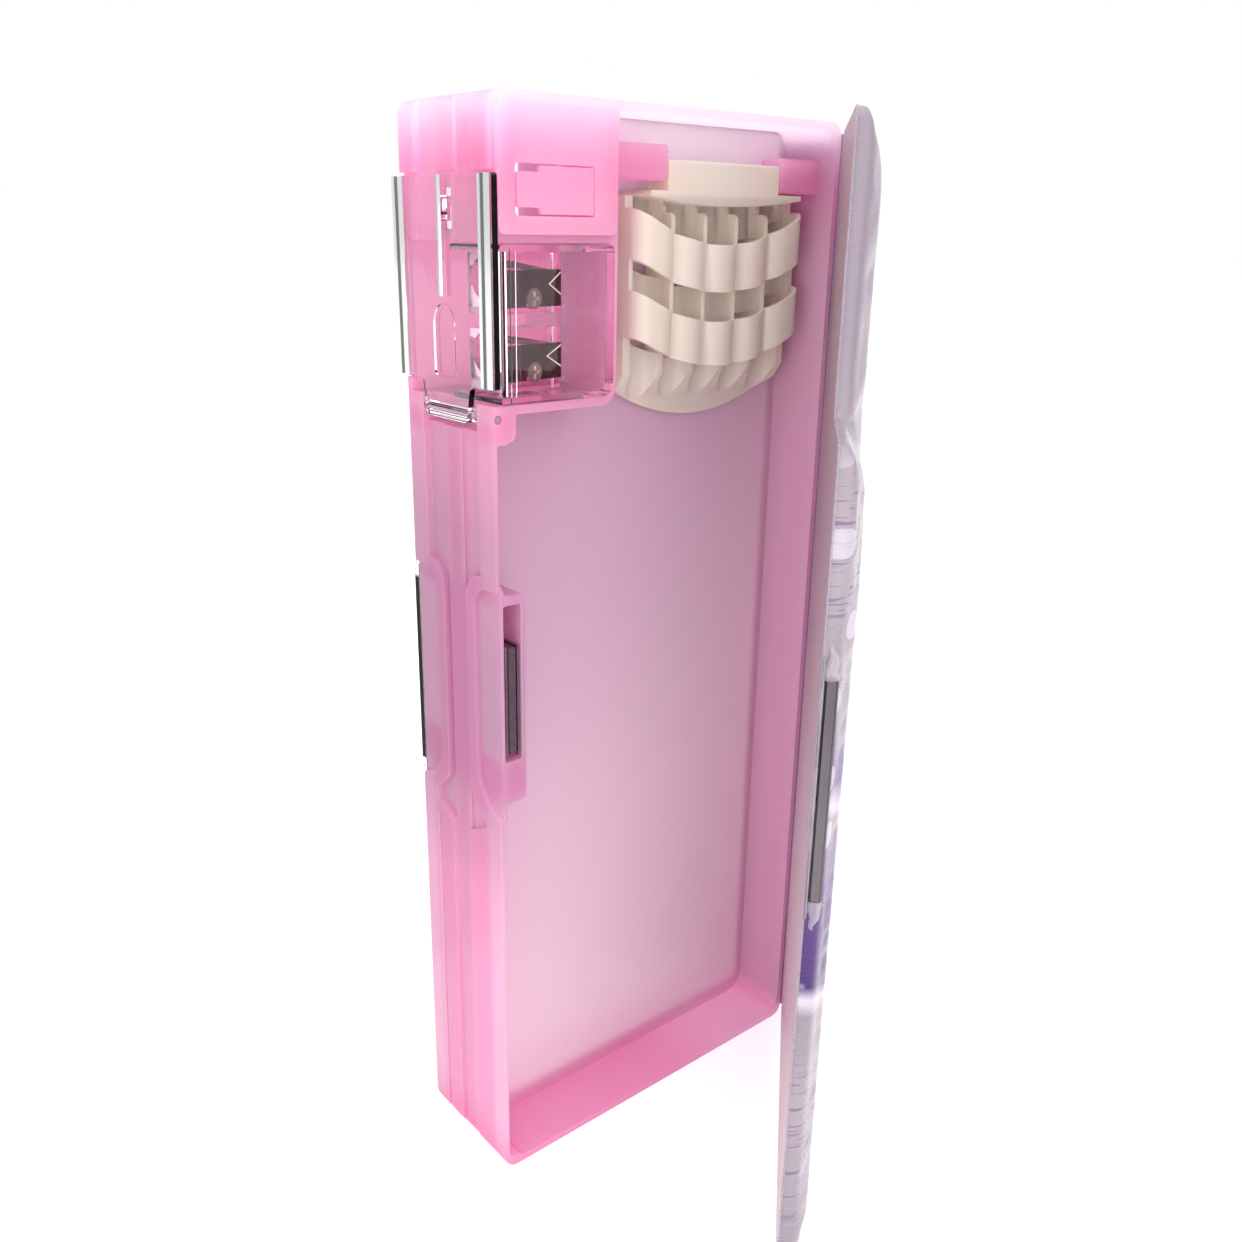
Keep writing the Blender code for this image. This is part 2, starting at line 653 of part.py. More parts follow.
def plate_outline(steps=8):
    """Plan of the back plate, with a half-round groove behind each loop."""
    half = RACK_HALF - 0.1
    points = [(RACK_X - half, RACK_BACK), (RACK_X - half, GROOVE_Y)]
    for i in range(LOOPS):
        middle = RACK_X + (i - (LOOPS - 1) / 2) * PITCH
        for k in range(steps + 1):
            turn = math.pi * k / steps
            points.append((middle - GROOVE_R * math.cos(turn), GROOVE_Y + GROOVE_R * math.sin(turn)))
    return points + [(RACK_X + half, GROOVE_Y), (RACK_X + half, RACK_BACK)]


def rack_fin(index):
    """Upright wall between two loops, or at an end, with a round upper front corner."""
    at_end = index in (0, LOOPS)
    x = RACK_X + (index - LOOPS / 2) * PITCH
    if at_end:
        x = RACK_X + math.copysign(RACK_HALF - FIN / 2 - 0.05, index - 1)
    front = RACK_FRONT + BAND_BEND if at_end else FIN_FRONT
    low = smile(x, LOWER_BAND[0]) + 0.4
    side = rounded([
        (front, low, 0), (RACK_BACK - 0.2, low, 0), (RACK_BACK - 0.2, FIN_TOP, 0), (front, FIN_TOP, 1.2),
    ])
    return prism(side, "X", x - FIN / 2, x + FIN / 2)


def pencil_rack(mat, tilt):
    """White rack: grooved plate, fins, two scalloped bands, a stop flange and a pivot block."""
    half = RACK_HALF + 2
    rack = piece("pencil_rack", prism(plate_outline(), "Z", CHIN - CUT, FLANGE_TOP - 1.0), mat, tilt)
    chin = [(RACK_X - half, CHIN - 4)] + smile_line(half, CHIN) + [(RACK_X + half, CHIN - 4)]
    groove_back = GROOVE_Y + GROOVE_R
    lead_in = [
        (GROOVE_Y - CUT, 180.5), (GROOVE_Y, 178.5), (groove_back, 172.5),
        (groove_back, CHIN - 8), (GROOVE_Y - CUT, CHIN - 8),
    ]
    cut(
        rack, tilt,
        prism(chin, "Y", GROOVE_Y - 2, RACK_BACK + CUT),
        prism(lead_in, "X", RACK_X - half, RACK_X + half),
    )
    for low, high in (UPPER_BAND, LOWER_BAND):
        window = smile_strip(LOOPS * PITCH / 2 - 0.6, low + 0.5, high - 0.5)
        cut(rack, tilt, prism(window, "Y", GROOVE_Y - 0.4, RACK_BACK + CUT))
    join(rack, tilt, *[rack_fin(index) for index in range(LOOPS + 1)])
    for low, high in (UPPER_BAND, LOWER_BAND):
        band = tool(prism(band_outline(), "Z", low - 4, high + 12), tilt)
        boolean(band, tool(prism(smile_strip(half, low, high), "Y", 0, RACK_BACK), tilt), "INTERSECT")
        boolean(rack, band, "UNION")
    wide = RACK_HALF - 2.6
    flange = smile_line(wide, FLANGE_LOW, FLANGE_SMILE)
    flange += [(RACK_X + wide, FLANGE_TOP), (RACK_X - wide, FLANGE_TOP)]
    block = rectangle(RACK_AXIS[0] - 2.9, FLANGE_TOP - 0.5, RACK_AXIS[0] + 3.3, BLOCK_Z, 0.7)
    join(
        rack, tilt,
        prism(flange, "Y", RACK_FRONT, RACK_BACK - 0.4),
        prism(block, "X", *BLOCK_X),
        rod("X", RACK_AXIS, RACK_PIN_R, BLOCK_X[0] - 3.8, BLOCK_X[0] + CUT),
        rod("X", RACK_AXIS, RACK_PIN_R, BLOCK_X[1] - CUT, BLOCK_X[1] + 3.8),
    )


# Lids and spine


def lid_outline(inset, end_inset):
    """Outline of a lid, notched round the sharpener corner, drawn in at its sides and its ends."""
    left, right = LID_FREE + inset, WIDTH - LID_HINGE_GAP - inset
    low, high = LID_Z[0] + end_inset, LID_Z[1] - end_inset
    step_x, step_z = LID_CUT_X + inset, LID_CUT_Z - end_inset
    out = max(3.0 - inset, 0.5)
    return rounded([
        (left, low, out), (right, low, out), (right, high, out), (step_x, high, out),
        (step_x, step_z, 3.0 + inset), (left, step_z, out),
    ], 4)


def lid(side, turn, mats, hinge):
    """Padded lid, drawn closed: a stiff lining, a crowned pad over it and a striker on its free edge."""
    board_y = (-LID_GAP - BOARD, -LID_GAP)
    board = prism(lid_outline(0.0, 0.0), "Y", *board_y)
    piece(side + "_lid_board", turn(board), mats["lining"], hinge)
    base = board_y[0] - SEAT
    rings = []
    for inset, end_inset, out in PAD_RINGS:
        rings.append([place("Y", u, v, base - out) for u, v in lid_outline(inset, end_inset)])
    piece(side + "_lid_pad", turn(loft(rings)), mats["vinyl"], hinge)
    x = (LID_FREE - SEAT - STRIKER_THICK, LID_FREE - SEAT)
    bar = prism(rectangle(x[0], STRIKER_Y[0], x[1], STRIKER_Y[1], 0.3, 2), "Z", *STRIKER_Z)
    piece(side + "_striker", turn(bar), mats["steel"], hinge)


def spine_cover(mat, case):
    """Strip on the hinge side, with a welt along each edge on which a lid turns."""
    profile = rectangle(SPINE_X[0], -SEAT, SPINE_X[1], THICK + SEAT, 0.4)
    spine = piece("spine_cover", prism(profile, "Z", *LID_Z), mat, case)
    for turn in (lambda bm: bm, to_back):
        join(
            spine, case,
            turn(rod("Z", (HINGE_X, HINGE_Y), WELT_R, *LID_Z, 12)),
            turn(box((HINGE_X - 0.05, HINGE_X + 0.9), (HINGE_Y, -SEAT + 0.6), LID_Z)),
        )


def finishes():
    """Materials of the pieces."""
    return {
        "pink": finish("pink_plastic", (0.93, 0.55, 0.78), 0.35),
        "clear": finish("clear_plastic", (0.95, 0.93, 0.96), 0.08, alpha=0.35),
        "chrome": finish("chrome_strip", (0.85, 0.86, 0.86), 0.08, 1.0),
        "steel": finish("dark_steel", (0.16, 0.15, 0.15), 0.3, 1.0),
        "screw": finish("screw_steel", (0.55, 0.52, 0.48), 0.3, 1.0),
        "ferrite": finish("ferrite", (0.05, 0.05, 0.055), 0.6),
        "white": finish("white_plastic", (0.93, 0.89, 0.82), 0.4),
        "vinyl": finish("lavender_vinyl", (0.72, 0.66, 0.82), 0.25),
        "lining": finish("lining_board", (0.93, 0.84, 0.88), 0.45),
    }


def main():
    """Build the case with its front lid part open."""
    clear_scene()
    mats = finishes()
    case = Frame("case_frame", (0, 0, 0))
    front_hinge = Frame("front_lid_hinge", (HINGE_X, HINGE_Y, 0), case, FRONT_LID_OPEN)
    back_hinge = Frame("back_lid_hinge", (HINGE_X, THICK - HINGE_Y, 0), case)
    door = Frame("sharpener_door_pivot", (DOOR_PIVOT[0], 0, DOOR_PIVOT[1]), case)
    tongue = Frame("release_tongue_root", (TONGUE_X[1], -PROUD / 2, 0), case)
    tilt = Frame("rack_tilt_axis", (RACK_X, *RACK_AXIS), case)
    body_shell(mats["pink"], case)
    for side, turn, hinge in (("front", lambda bm: bm, front_hinge), ("back", to_back, back_hinge)):
        latch_magnet(side, turn, mats, case)
        lid(side, turn, mats, hinge)
    spine_cover(mats["vinyl"], case)
    sharpener_case(mats["clear"], case)
    for name in BLADE_LOW:
        sharpener(name, mats, case)
    sharpener_door(mats, door)
    piece("door_pivot_pin", rod("Y", DOOR_PIVOT, PIN_R, 0.5, THICK - 0.5, 12), mats["clear"], case)
    button_housing(mats["pink"], case, tongue)
    pencil_rack(mats["white"], tilt)
    shade_pieces()


main()
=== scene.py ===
"""Looks of a double-sided pencil case with a sharpener corner, a pencil rack and two padded lids.

Lengths in the classes are millimetres in the case frame: X runs from the latch side towards the
hinge, Y from the front rim to the back, and Z up from the standing end. CaseFrame turns them into
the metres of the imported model. The finishes and the studio are written in metres.
"""

import json
import logging
import math
from dataclasses import asdict, dataclass
from enum import Enum
from typing import Sequence

import bmesh
import bpy
import numpy as np
from mathutils import Matrix, Vector, geometry

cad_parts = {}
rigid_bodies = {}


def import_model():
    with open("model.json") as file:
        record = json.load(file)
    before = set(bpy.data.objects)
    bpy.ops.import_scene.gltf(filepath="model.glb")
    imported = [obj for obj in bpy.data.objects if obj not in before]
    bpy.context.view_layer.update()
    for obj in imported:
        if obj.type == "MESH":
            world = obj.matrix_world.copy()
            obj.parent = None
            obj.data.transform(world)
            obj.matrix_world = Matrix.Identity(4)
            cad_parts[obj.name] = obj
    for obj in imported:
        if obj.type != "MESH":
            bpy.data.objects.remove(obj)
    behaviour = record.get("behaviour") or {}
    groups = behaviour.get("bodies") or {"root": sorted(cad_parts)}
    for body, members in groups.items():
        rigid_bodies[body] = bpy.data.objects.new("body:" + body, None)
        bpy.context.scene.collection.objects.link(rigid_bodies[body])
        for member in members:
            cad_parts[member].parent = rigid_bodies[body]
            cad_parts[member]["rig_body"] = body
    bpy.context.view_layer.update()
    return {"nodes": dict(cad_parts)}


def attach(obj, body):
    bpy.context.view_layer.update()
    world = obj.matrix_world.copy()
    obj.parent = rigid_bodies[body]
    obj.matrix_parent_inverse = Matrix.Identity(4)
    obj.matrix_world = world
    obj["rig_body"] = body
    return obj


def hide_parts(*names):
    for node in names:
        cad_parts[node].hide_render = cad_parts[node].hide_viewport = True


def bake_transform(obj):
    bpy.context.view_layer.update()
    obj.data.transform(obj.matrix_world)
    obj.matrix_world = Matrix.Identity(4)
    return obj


LOG = logging.getLogger("pencil_case")
MM = 0.001
WHITE = (1.0, 1.0, 1.0, 1.0)
BLACK = (0.0, 0.0, 0.0, 1.0)
FALLING = (1.0, 0.0)
Colour = tuple[float, float, float, float]
Point = tuple[float, float]
Place = tuple[float, float, float]
Faces = list[tuple[int, ...]]
Node = bpy.types.Node
Object = bpy.types.Object
Socket = bpy.types.NodeSocket
Tree = bpy.types.NodeTree


def clear_scene() -> None:
    """Remove what Blender starts with, so that only the frame and the new pieces are left."""
    for obj in list(bpy.data.objects):
        bpy.data.objects.remove(obj, do_unlink=True)


clear_scene()
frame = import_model()


def srgb(red: int, green: int, blue: int) -> Colour:
    """Turn a colour as it is seen, 0 to 255, into Blender's linear values.

    Args:
        red: Red as it is seen.
        green: Green as it is seen.
        blue: Blue as it is seen.

    Returns:
        Linear red, green, blue and an alpha of 1.
    """
    parts = []
    for value in (red, green, blue):
        part = value / 255
        parts.append(part / 12.92 if part <= 0.04045 else ((part + 0.055) / 1.055) ** 2.4)
    return (*parts, 1.0)


class Side(Enum):
    """The two faces of the case, each with its own lid and latch."""

    FRONT = "front"
    BACK = "back"

    @property
    def lid(self) -> str:
        """Name of the CAD body of this side's lid."""
        return f"{self.value}_lid"


@dataclass(frozen=True)
class CaseFrame:
    """The case's own frame, with the lids' hinge lines."""

    width: float = 92.3
    thick: float = 30.7
    hinge_x: float = 92.7
    hinge_y: float = -1.6
    front_open: float = 42.0

    def metres(self, points: np.ndarray) -> np.ndarray:
        """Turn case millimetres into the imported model's metres."""
        return (np.asarray(points, float) - (self.width / 2, self.thick / 2, 0)) * MM

    def mirrored(self, points: np.ndarray) -> np.ndarray:
        """Carry points from the front half of the case to the back half.

        Args:
            points: Points in case millimetres.

        Returns:
            The points on the back half.
        """
        out = np.array(points, float)
        out[:, 1] = self.thick - out[:, 1]
        return out

    def swung(self, points: np.ndarray, degrees: float | np.ndarray) -> np.ndarray:
        """Swing points of the closed front lid about its hinge.

        Args:
            points: Points in case millimetres.
            degrees: How far they swing, all alike or each by itself.

        Returns:
            The points after the swing.
        """
        turn = np.radians(degrees)
        cos, sin = np.cos(turn), np.sin(turn)
        out = np.array(points, float)
        x, y = out[:, 0] - self.hinge_x, out[:, 1] - self.hinge_y
        out[:, 0] = self.hinge_x + cos * x - sin * y
        out[:, 1] = self.hinge_y + sin * x + cos * y
        return out

    def on_lid(self, points: np.ndarray, side: Side) -> np.ndarray:
        """Carry points of a closed front lid to where a side's lid is at rest."""
        return self.mirrored(points) if side is Side.BACK else self.swung(points, self.front_open)


CASE = CaseFrame()


class Graph:
    """Adds and links the nodes of a tree."""

    def __init__(self, tree: Tree) -> None:
        """Take the tree that the nodes go into."""
        self.tree = tree

    def node(self, kind: str, inputs: dict | None = None, **settings: object) -> Node:
        """Add a node.

        Args:
            kind: The node's type name.
            inputs: Values or sockets for its inputs, by name or number.
            **settings: Properties of the node itself.

        Returns:
            The new node.
        """
        made = self.tree.nodes.new(kind)
        for key, value in settings.items():
            setattr(made, key, value)
        for key, value in (inputs or {}).items():
            self.feed(made.inputs[key], value)
        return made

    def feed(self, socket: Socket, value: object) -> None:
        """Link a socket to another, or set its value.

        Args:
            socket: The input to feed.
            value: A socket to link it to, or its value.
        """
        if isinstance(value, Socket):
            self.tree.links.new(value, socket)
        else:
            socket.default_value = value

    def fill(self, node: Node, **values: object) -> None:
        """Feed a node's inputs by name, with _ for a space."""
        for key, value in values.items():
            self.feed(node.inputs[key.replace("_", " ")], value)

    def place(self) -> Socket:
        """Coordinates on the piece itself, in metres."""
        return self.node("ShaderNodeTexCoord").outputs["Object"]

    def axes(self, vector: Socket) -> list[Socket]:
        """Split a vector into its three values."""
        return list(self.node("ShaderNodeSeparateXYZ", {"Vector": vector}).outputs)

    def maths(self, operation: str, first: object, second: object = 0.0, clamp: bool = False) -> Socket:
        """Work out one value from two."""
        made = self.node("ShaderNodeMath", {0: first, 1: second}, operation=operation, use_clamp=clamp)
        return made.outputs[0]

    def times(self, first: Socket, *others: object) -> Socket:
        """Multiply values.

        Args:
            first: The first value.
            *others: What it is multiplied by.

        Returns:
            The product.
        """
        for other in others:
            first = self.maths("MULTIPLY", first, other)
        return first

    def blend(self, share: object, first: object, second: object, how: str = "MIX") -> Socket:
        """Mix two colours.

        Args:
            share: How much of the second colour shows.
            first: The first colour.
            second: The second colour.
            how: The way they mix.

        Returns:
            The mixed colour.
        """
        made = self.node("ShaderNodeMix", {"Factor": share}, data_type="RGBA", blend_type=how)
        self.feed(made.inputs[6], first)
        self.feed(made.inputs[7], second)
        return made.outputs[2]

    def span(self, value: object, low: float, high: float, to: Point = (0.0, 1.0)) -> Socket:
        """Map a span of values onto another, with a soft start and end."""
        ends = {"Value": value, "From Min": low, "From Max": high, "To Min": to[0], "To Max": to[1]}
        return self.node("ShaderNodeMapRange", ends, interpolation_type="SMOOTHSTEP").outputs["Result"]

    def between(self, value: Socket, rise: Point, fall: Point) -> Socket:
        """Mask that rises over one span and falls over another."""
        return self.times(self.span(value, *rise), self.span(value, *fall))

    def noise(self, where: object, scale: object, detail: float = 3.0, rough: float = 0.5) -> Socket:
        """Put in a noise texture and give its value."""
        inputs = {"Vector": where, "Scale": scale, "Detail": detail, "Roughness": rough}
        return self.node("ShaderNodeTexNoise", inputs).outputs["Fac"]

    def stretched(self, where: Socket, scale: Place, turn: float = 0.0) -> Socket:
        """Coordinates stretched along the axes, after a turn about Z."""
        inputs = {"Vector": where, "Scale": scale, "Rotation": (0.0, 0.0, turn)}
        return self.node("ShaderNodeMapping", inputs).outputs[0]

    def ramp(self, value: Socket, stops: Sequence[tuple[float, Colour]]) -> Socket:
        """Colour a value of 0 to 1 by stops in rising order.

        Args:
            value: The value to colour.
            stops: Values and their colours.

        Returns:
            The colour.
        """
        made = self.node("ShaderNodeValToRGB", {"Fac": value})
        elements = made.color_ramp.elements
        for spot, _ in stops[2:]:
            elements.new(spot)
        for element, (spot, colour) in zip(elements, stops):
            element.position = spot
            element.color = colour
        return made.outputs["Color"]


class Effects:
    """Shader node groups that several finishes share, each built once."""

    _made: dict[str, Tree] = {}

    @classmethod
    def _group(cls, name: str, inputs: dict[str, float], outputs: Sequence[str]) -> tuple[Graph, dict, Node]:
        """Start a group with a vector, value inputs and value outputs.

        Args:
            name: The group's name.
            inputs: Its value inputs, with what they are at first.
            outputs: Its outputs.

        Returns:
            The group's nodes, its inputs by name and its output node.
        """
        tree = bpy.data.node_groups.new(name, "ShaderNodeTree")
        tree.interface.new_socket("Vector", in_out="INPUT", socket_type="NodeSocketVector")
        for key, value in inputs.items():
            socket = tree.interface.new_socket(key, in_out="INPUT", socket_type="NodeSocketFloat")
            socket.default_value = value
        for key in outputs:
            tree.interface.new_socket(key, in_out="OUTPUT", socket_type="NodeSocketFloat")
        cls._made[name] = tree
        graph = Graph(tree)
        start = graph.node("NodeGroupInput")
        return graph, {socket.name: socket for socket in start.outputs}, graph.node("NodeGroupOutput")

    @classmethod
    def _use(cls, graph: Graph, name: str, **values: object) -> Node:
        """Place a group in a material and feed its inputs.

        Args:
            graph: The material's nodes.
            name: The group's name.
            **values: The group's inputs, by name.

        Returns:
            The group node.
        """
        made = graph.node("ShaderNodeGroup", node_tree=cls._made[name])
        graph.fill(made, **values)
        return made

    @classmethod
    def grain(cls, graph: Graph, where: Socket, scale: float) -> tuple[Socket, Socket]:
        """Put in the fine grain and slow drift of a moulded or calendered surface.

        Args:
            graph: The material's nodes.
            where: Socket with the coordinates it reads.
            scale: Scale of the grain.

        Returns:
            The grain and the drift.
        """
        name = "surface_grain"
        if name not in cls._made:
            inner, start, end = cls._group(name, {"Scale": 900.0}, ("Grain", "Drift"))
            fine = inner.noise(start["Vector"], start["Scale"], 4.0)
            inner.fill(end, Grain=fine, Drift=inner.noise(start["Vector"], 28.0, 2.0))
        made = cls._use(graph, name, Vector=where, Scale=scale)
        return made.outputs["Grain"], made.outputs["Drift"]

    @classmethod
    def scuffs(cls, graph: Graph, where: Socket, amount: float) -> Socket:
        """Put in thin rub marks that run mostly up and down.

        Args:
            graph: The material's nodes.
            where: Socket with the coordinates they read.
            amount: How strong they are.

        Returns:
            The marks.
        """
        name = "rub_marks"
        if name not in cls._made:
            inner, start, end = cls._group(name, {"Amount": 0.5}, ("Marks",))
            lines = inner.noise(inner.stretched(start["Vector"], (900.0, 900.0, 45.0)), 1.0, 2.0)
            patches = inner.span(inner.noise(start["Vector"], 60.0, 2.0), 0.5, 0.7)
            inner.fill(end, Marks=inner.times(inner.span(lines, 0.62, 0.72), patches, start["Amount"]))
        return cls._use(graph, name, Vector=where, Amount=amount).outputs["Marks"]


class Finish:
    """Base of the finishes: a material with a Principled shader, made once."""

    name: str
    _made: dict[str, bpy.types.Material] = {}

    def material(self) -> bpy.types.Material:
        """Build the material, or give the one already built.

        Returns:
            The material.
        """
        if self.name not in Finish._made:
            made = bpy.data.materials.new(self.name)
            made.use_nodes = True
            self.dress(Graph(made.node_tree), made.node_tree.nodes["Principled BSDF"])
            Finish._made[self.name] = made
        return Finish._made[self.name]

    def dress(self, graph: Graph, shader: Node) -> None:
        """Set and link the shader. Each finish has its own."""
        raise NotImplementedError

    @staticmethod
    def glow(graph: Graph, shader: Node, tint: Socket, share: object) -> None:
        """Let a share of the light through, scattered, as a milky plastic does.

        Args:
            graph: The material's nodes.
            shader: Its Principled shader.
            tint: Colour of the light that comes through.
            share: How much of the light goes through.
        """
        milk = graph.node("ShaderNodeBsdfTranslucent", {"Color": tint})
        ends = {0: share, 1: shader.outputs["BSDF"], 2: milk.outputs["BSDF"]}
        mixed = graph.node("ShaderNodeMixShader", ends)
        graph.fill(graph.tree.nodes["Material Output"], Surface=mixed.outputs["Shader"])

    @staticmethod
    def bump(graph: Graph, shader: Node, height: Socket, strength: float, distance: float) -> None:
        """Link a height to the shader's normal."""
        made = graph.node("ShaderNodeBump", {"Strength": strength, "Distance": distance, "Height": height})
        graph.fill(shader, Normal=made.outputs["Normal"])


@dataclass(frozen=True)
class PinkPlastic(Finish):
    """See-through pink moulding: pale where a wall is thin, deeper where it is thick."""

    name: str = "pink_plastic"
    thin: Colour = srgb(255, 219, 241)
    thick: Colour = srgb(255, 190, 226)
    # The next three colours are painted shade by height on the latch side walls: a little darker at the very
    # bottom, darker at mid height, almost plain near the top.
    base: Colour = srgb(252, 218, 236)
    dusky: Colour = srgb(230, 219, 228)
    warm: Colour = srgb(255, 238, 244)
    floor: Colour = srgb(253, 222, 238)
    # Painted shadow colour of the partition's upper latch side, under the sharpener corner.
    mauve: Colour = srgb(222, 178, 208)
    # Painted light: near-white colour of the top rim and the partition's upper end, as if lit through from
    # above.
    rim: Colour = srgb(255, 246, 253)
    depth: float = 0.0032
    tall: float = 0.23
    partition_y: Point = (0.0011, 0.0026)
    partition_x: Point = (0.0405, 0.0440)
    partition_z: Point = (0.003, 0.009)
    slant: float = -0.9
    slant_span: Point = (0.05, 0.215)
    # Span across X over which the painted shade by height fades out.
    latch_side: Point = (0.0, 0.03)
    upper_end: Point = (0.196, 0.226)
    rim_span: Point = (0.2155, 0.230)
    through: Point = (0.45, 0.12)
    through_upper: Point = (0.3, -0.06)

    def dress(self, graph: Graph, shader: Node) -> None:
        """Colour by the wall's thickness, with a paler partition, a painted shadow on the partition's upper
        latch side, painted shade by height on the latch side walls and a painted lit rim at the top.

        Args:
            graph: The material's nodes.
            shader: Its Principled shader.
        """
        inside = graph.node(
            "ShaderNodeAmbientOcclusion", {"Distance": self.depth}, samples=6, inside=True, only_local=True)
        wall = graph.blend(graph.span(inside.outputs["AO"], 0.1, 0.85), self.thin, self.thick)
        x, y, z = graph.axes(graph.place())
        flat = graph.span(graph.maths("ABSOLUTE", y), *self.partition_y, FALLING)
        across = graph.span(graph.maths("ABSOLUTE", x), *self.partition_x, FALLING)
        floor = graph.times(flat, across, graph.span(z, *self.partition_z))
        # Painted shadow: the partition turns mauve towards its upper latch side.
        shadow_level = graph.maths("ADD", z, graph.times(x, self.slant))
        partition = graph.blend(graph.span(shadow_level, *self.slant_span), self.floor, self.mauve)
        # Painted shade: a height ramp that darkens the latch side walls at mid height and at the very bottom.
        painted_height_shade = graph.ramp(graph.maths("DIVIDE", z, self.tall), (
            (0.0, self.base), (0.05, WHITE), (0.30, WHITE), (0.43, self.dusky), (0.65, self.dusky),
            (0.78, self.warm), (0.94, WHITE),
        ))
        walls = graph.blend(graph.span(x, *self.latch_side, FALLING), wall, painted_height_shade, "MULTIPLY")
        # Painted light: the partition's upper end and the walls' top rim turn near white.
        upper = graph.span(z, *self.upper_end)
        partition = graph.blend(upper, partition, self.rim)
        walls = graph.blend(graph.span(z, *self.rim_span, (0.0, 0.9)), walls, self.rim)
        tint = graph.blend(floor, walls, partition)
        graph.fill(shader, Base_Color=tint, Roughness=0.27, IOR=1.46)
        more = graph.times(upper, graph.span(floor, 0.0, 1.0, self.through_upper))
        share = graph.maths("ADD", graph.span(floor, 0.0, 1.0, self.through), more, True)
        self.glow(graph, shader, tint, share)


@dataclass(frozen=True)
class ClearPlastic(Finish):
    """Clear styrene with a breath of pink and thin rub marks."""

    name: str = "clear_plastic"
    tint: Colour = srgb(252, 244, 249)

    def dress(self, graph: Graph, shader: Node) -> None:
        """Glass-like, with roughness only where it is rubbed.

        Args:
            graph: The material's nodes.
            shader: Its Principled shader.
        """
        where = graph.place()
        rough = graph.maths("ADD", 0.02, graph.times(Effects.scuffs(graph, where, 0.6), 0.25))
        graph.fill(shader, Base_Color=self.tint, Roughness=rough, Transmission_Weight=1.0, IOR=1.49)
        grain, _ = Effects.grain(graph, where, 160.0)
        self.bump(graph, shader, grain, 0.05, 0.0001)


@dataclass(frozen=True)
class WhitePlastic(Finish):
    """Warm white moulding of the rack."""

    name: str = "white_plastic"
    body: Colour = srgb(253, 247, 236)
    warm: Colour = srgb(252, 242, 229)

    def dress(self, graph: Graph, shader: Node) -> None:
        """Soft satin with slow changes of warmth.

        Args:
            graph: The material's nodes.
            shader: Its Principled shader.
        """
        _, drift = Effects.grain(graph, graph.place(), 1100.0)
        tint = graph.blend(graph.span(drift, 0.3, 0.7), self.body, self.warm)
        graph.fill(shader, Base_Color=tint, Roughness=graph.span(drift, 0.3, 0.7, (0.3, 0.4)), IOR=1.48)
        self.glow(graph, shader, tint, 0.3)


@dataclass(frozen=True)
class Metal(Finish):
    """Rolled or plated metal with fine lines along Z."""

    name: str
    colour: Colour
    worn: Colour
    rough: Point
    lines: float

    def dress(self, graph: Graph, shader: Node) -> None:
        """Fine rolling lines in the gloss and the bump, and dull patches.

        Args:
            graph: The material's nodes.
            shader: Its Principled shader.
        """
        where = graph.place()
        rolled = graph.noise(graph.stretched(where, (5200.0, 5200.0, 70.0)), 1.0, 2.0)
        _, drift = Effects.grain(graph, where, 500.0)
        tint = graph.blend(graph.span(drift, 0.35, 0.7), self.colour, self.worn)
        rough = graph.span(rolled, 0.25, 0.75, self.rough)
        graph.fill(shader, Base_Color=tint, Roughness=rough, Metallic=1.0)
        self.bump(graph, shader, rolled, self.lines, 0.00001)


@dataclass(frozen=True)
class Ferrite(Finish):
    """Pressed ferrite: dark, matt and faintly speckled."""

    name: str = "ferrite"
    dark: Colour = srgb(68, 48, 62)
    light: Colour = srgb(100, 78, 92)

    def dress(self, graph: Graph, shader: Node) -> None:
        """Speckles in the colour and in a rough bump.

        Args:
            graph: The material's nodes.
            shader: Its Principled shader.
        """
        grain, _ = Effects.grain(graph, graph.place(), 2200.0)
        tint = graph.blend(graph.span(grain, 0.35, 0.75), self.dark, self.light)
        graph.fill(shader, Base_Color=tint, Roughness=graph.span(grain, 0.3, 0.7, (0.45, 0.7)))
        self.bump(graph, shader, grain, 0.4, 0.00008)


@dataclass(frozen=True)
class Lining(Finish):
    """Pale pinkish vinyl that lines a lid."""

    name: str = "lining_vinyl"
    pale: Colour = srgb(208, 194, 200)
    # Painted shade colour of the lining's upper end.
    shade: Colour = srgb(166, 146, 155)

    def dress(self, graph: Graph, shader: Node) -> None:
        """Calendered grain with slow waves, and painted shade that darkens it towards the upper end.

        Args:
            graph: The material's nodes.
            shader: Its Principled shader.
        """
        where = graph.place()
        grain, drift = Effects.grain(graph, where, 1700.0)
        # Painted shade: the lining darkens towards its upper end.
        level = graph.maths("ADD", graph.axes(where)[2], graph.times(drift, 0.06))
        tint = graph.blend(graph.span(level, 0.06, 0.2), self.pale, self.shade)
        graph.fill(shader, Base_Color=tint, Roughness=graph.span(grain, 0.3, 0.7, (0.34, 0.5)))
        height = graph.maths("ADD", graph.times(grain, 0.12), graph.noise(where, 45.0, 2.0))
        self.bump(graph, shader, height, 0.25, 0.0004)


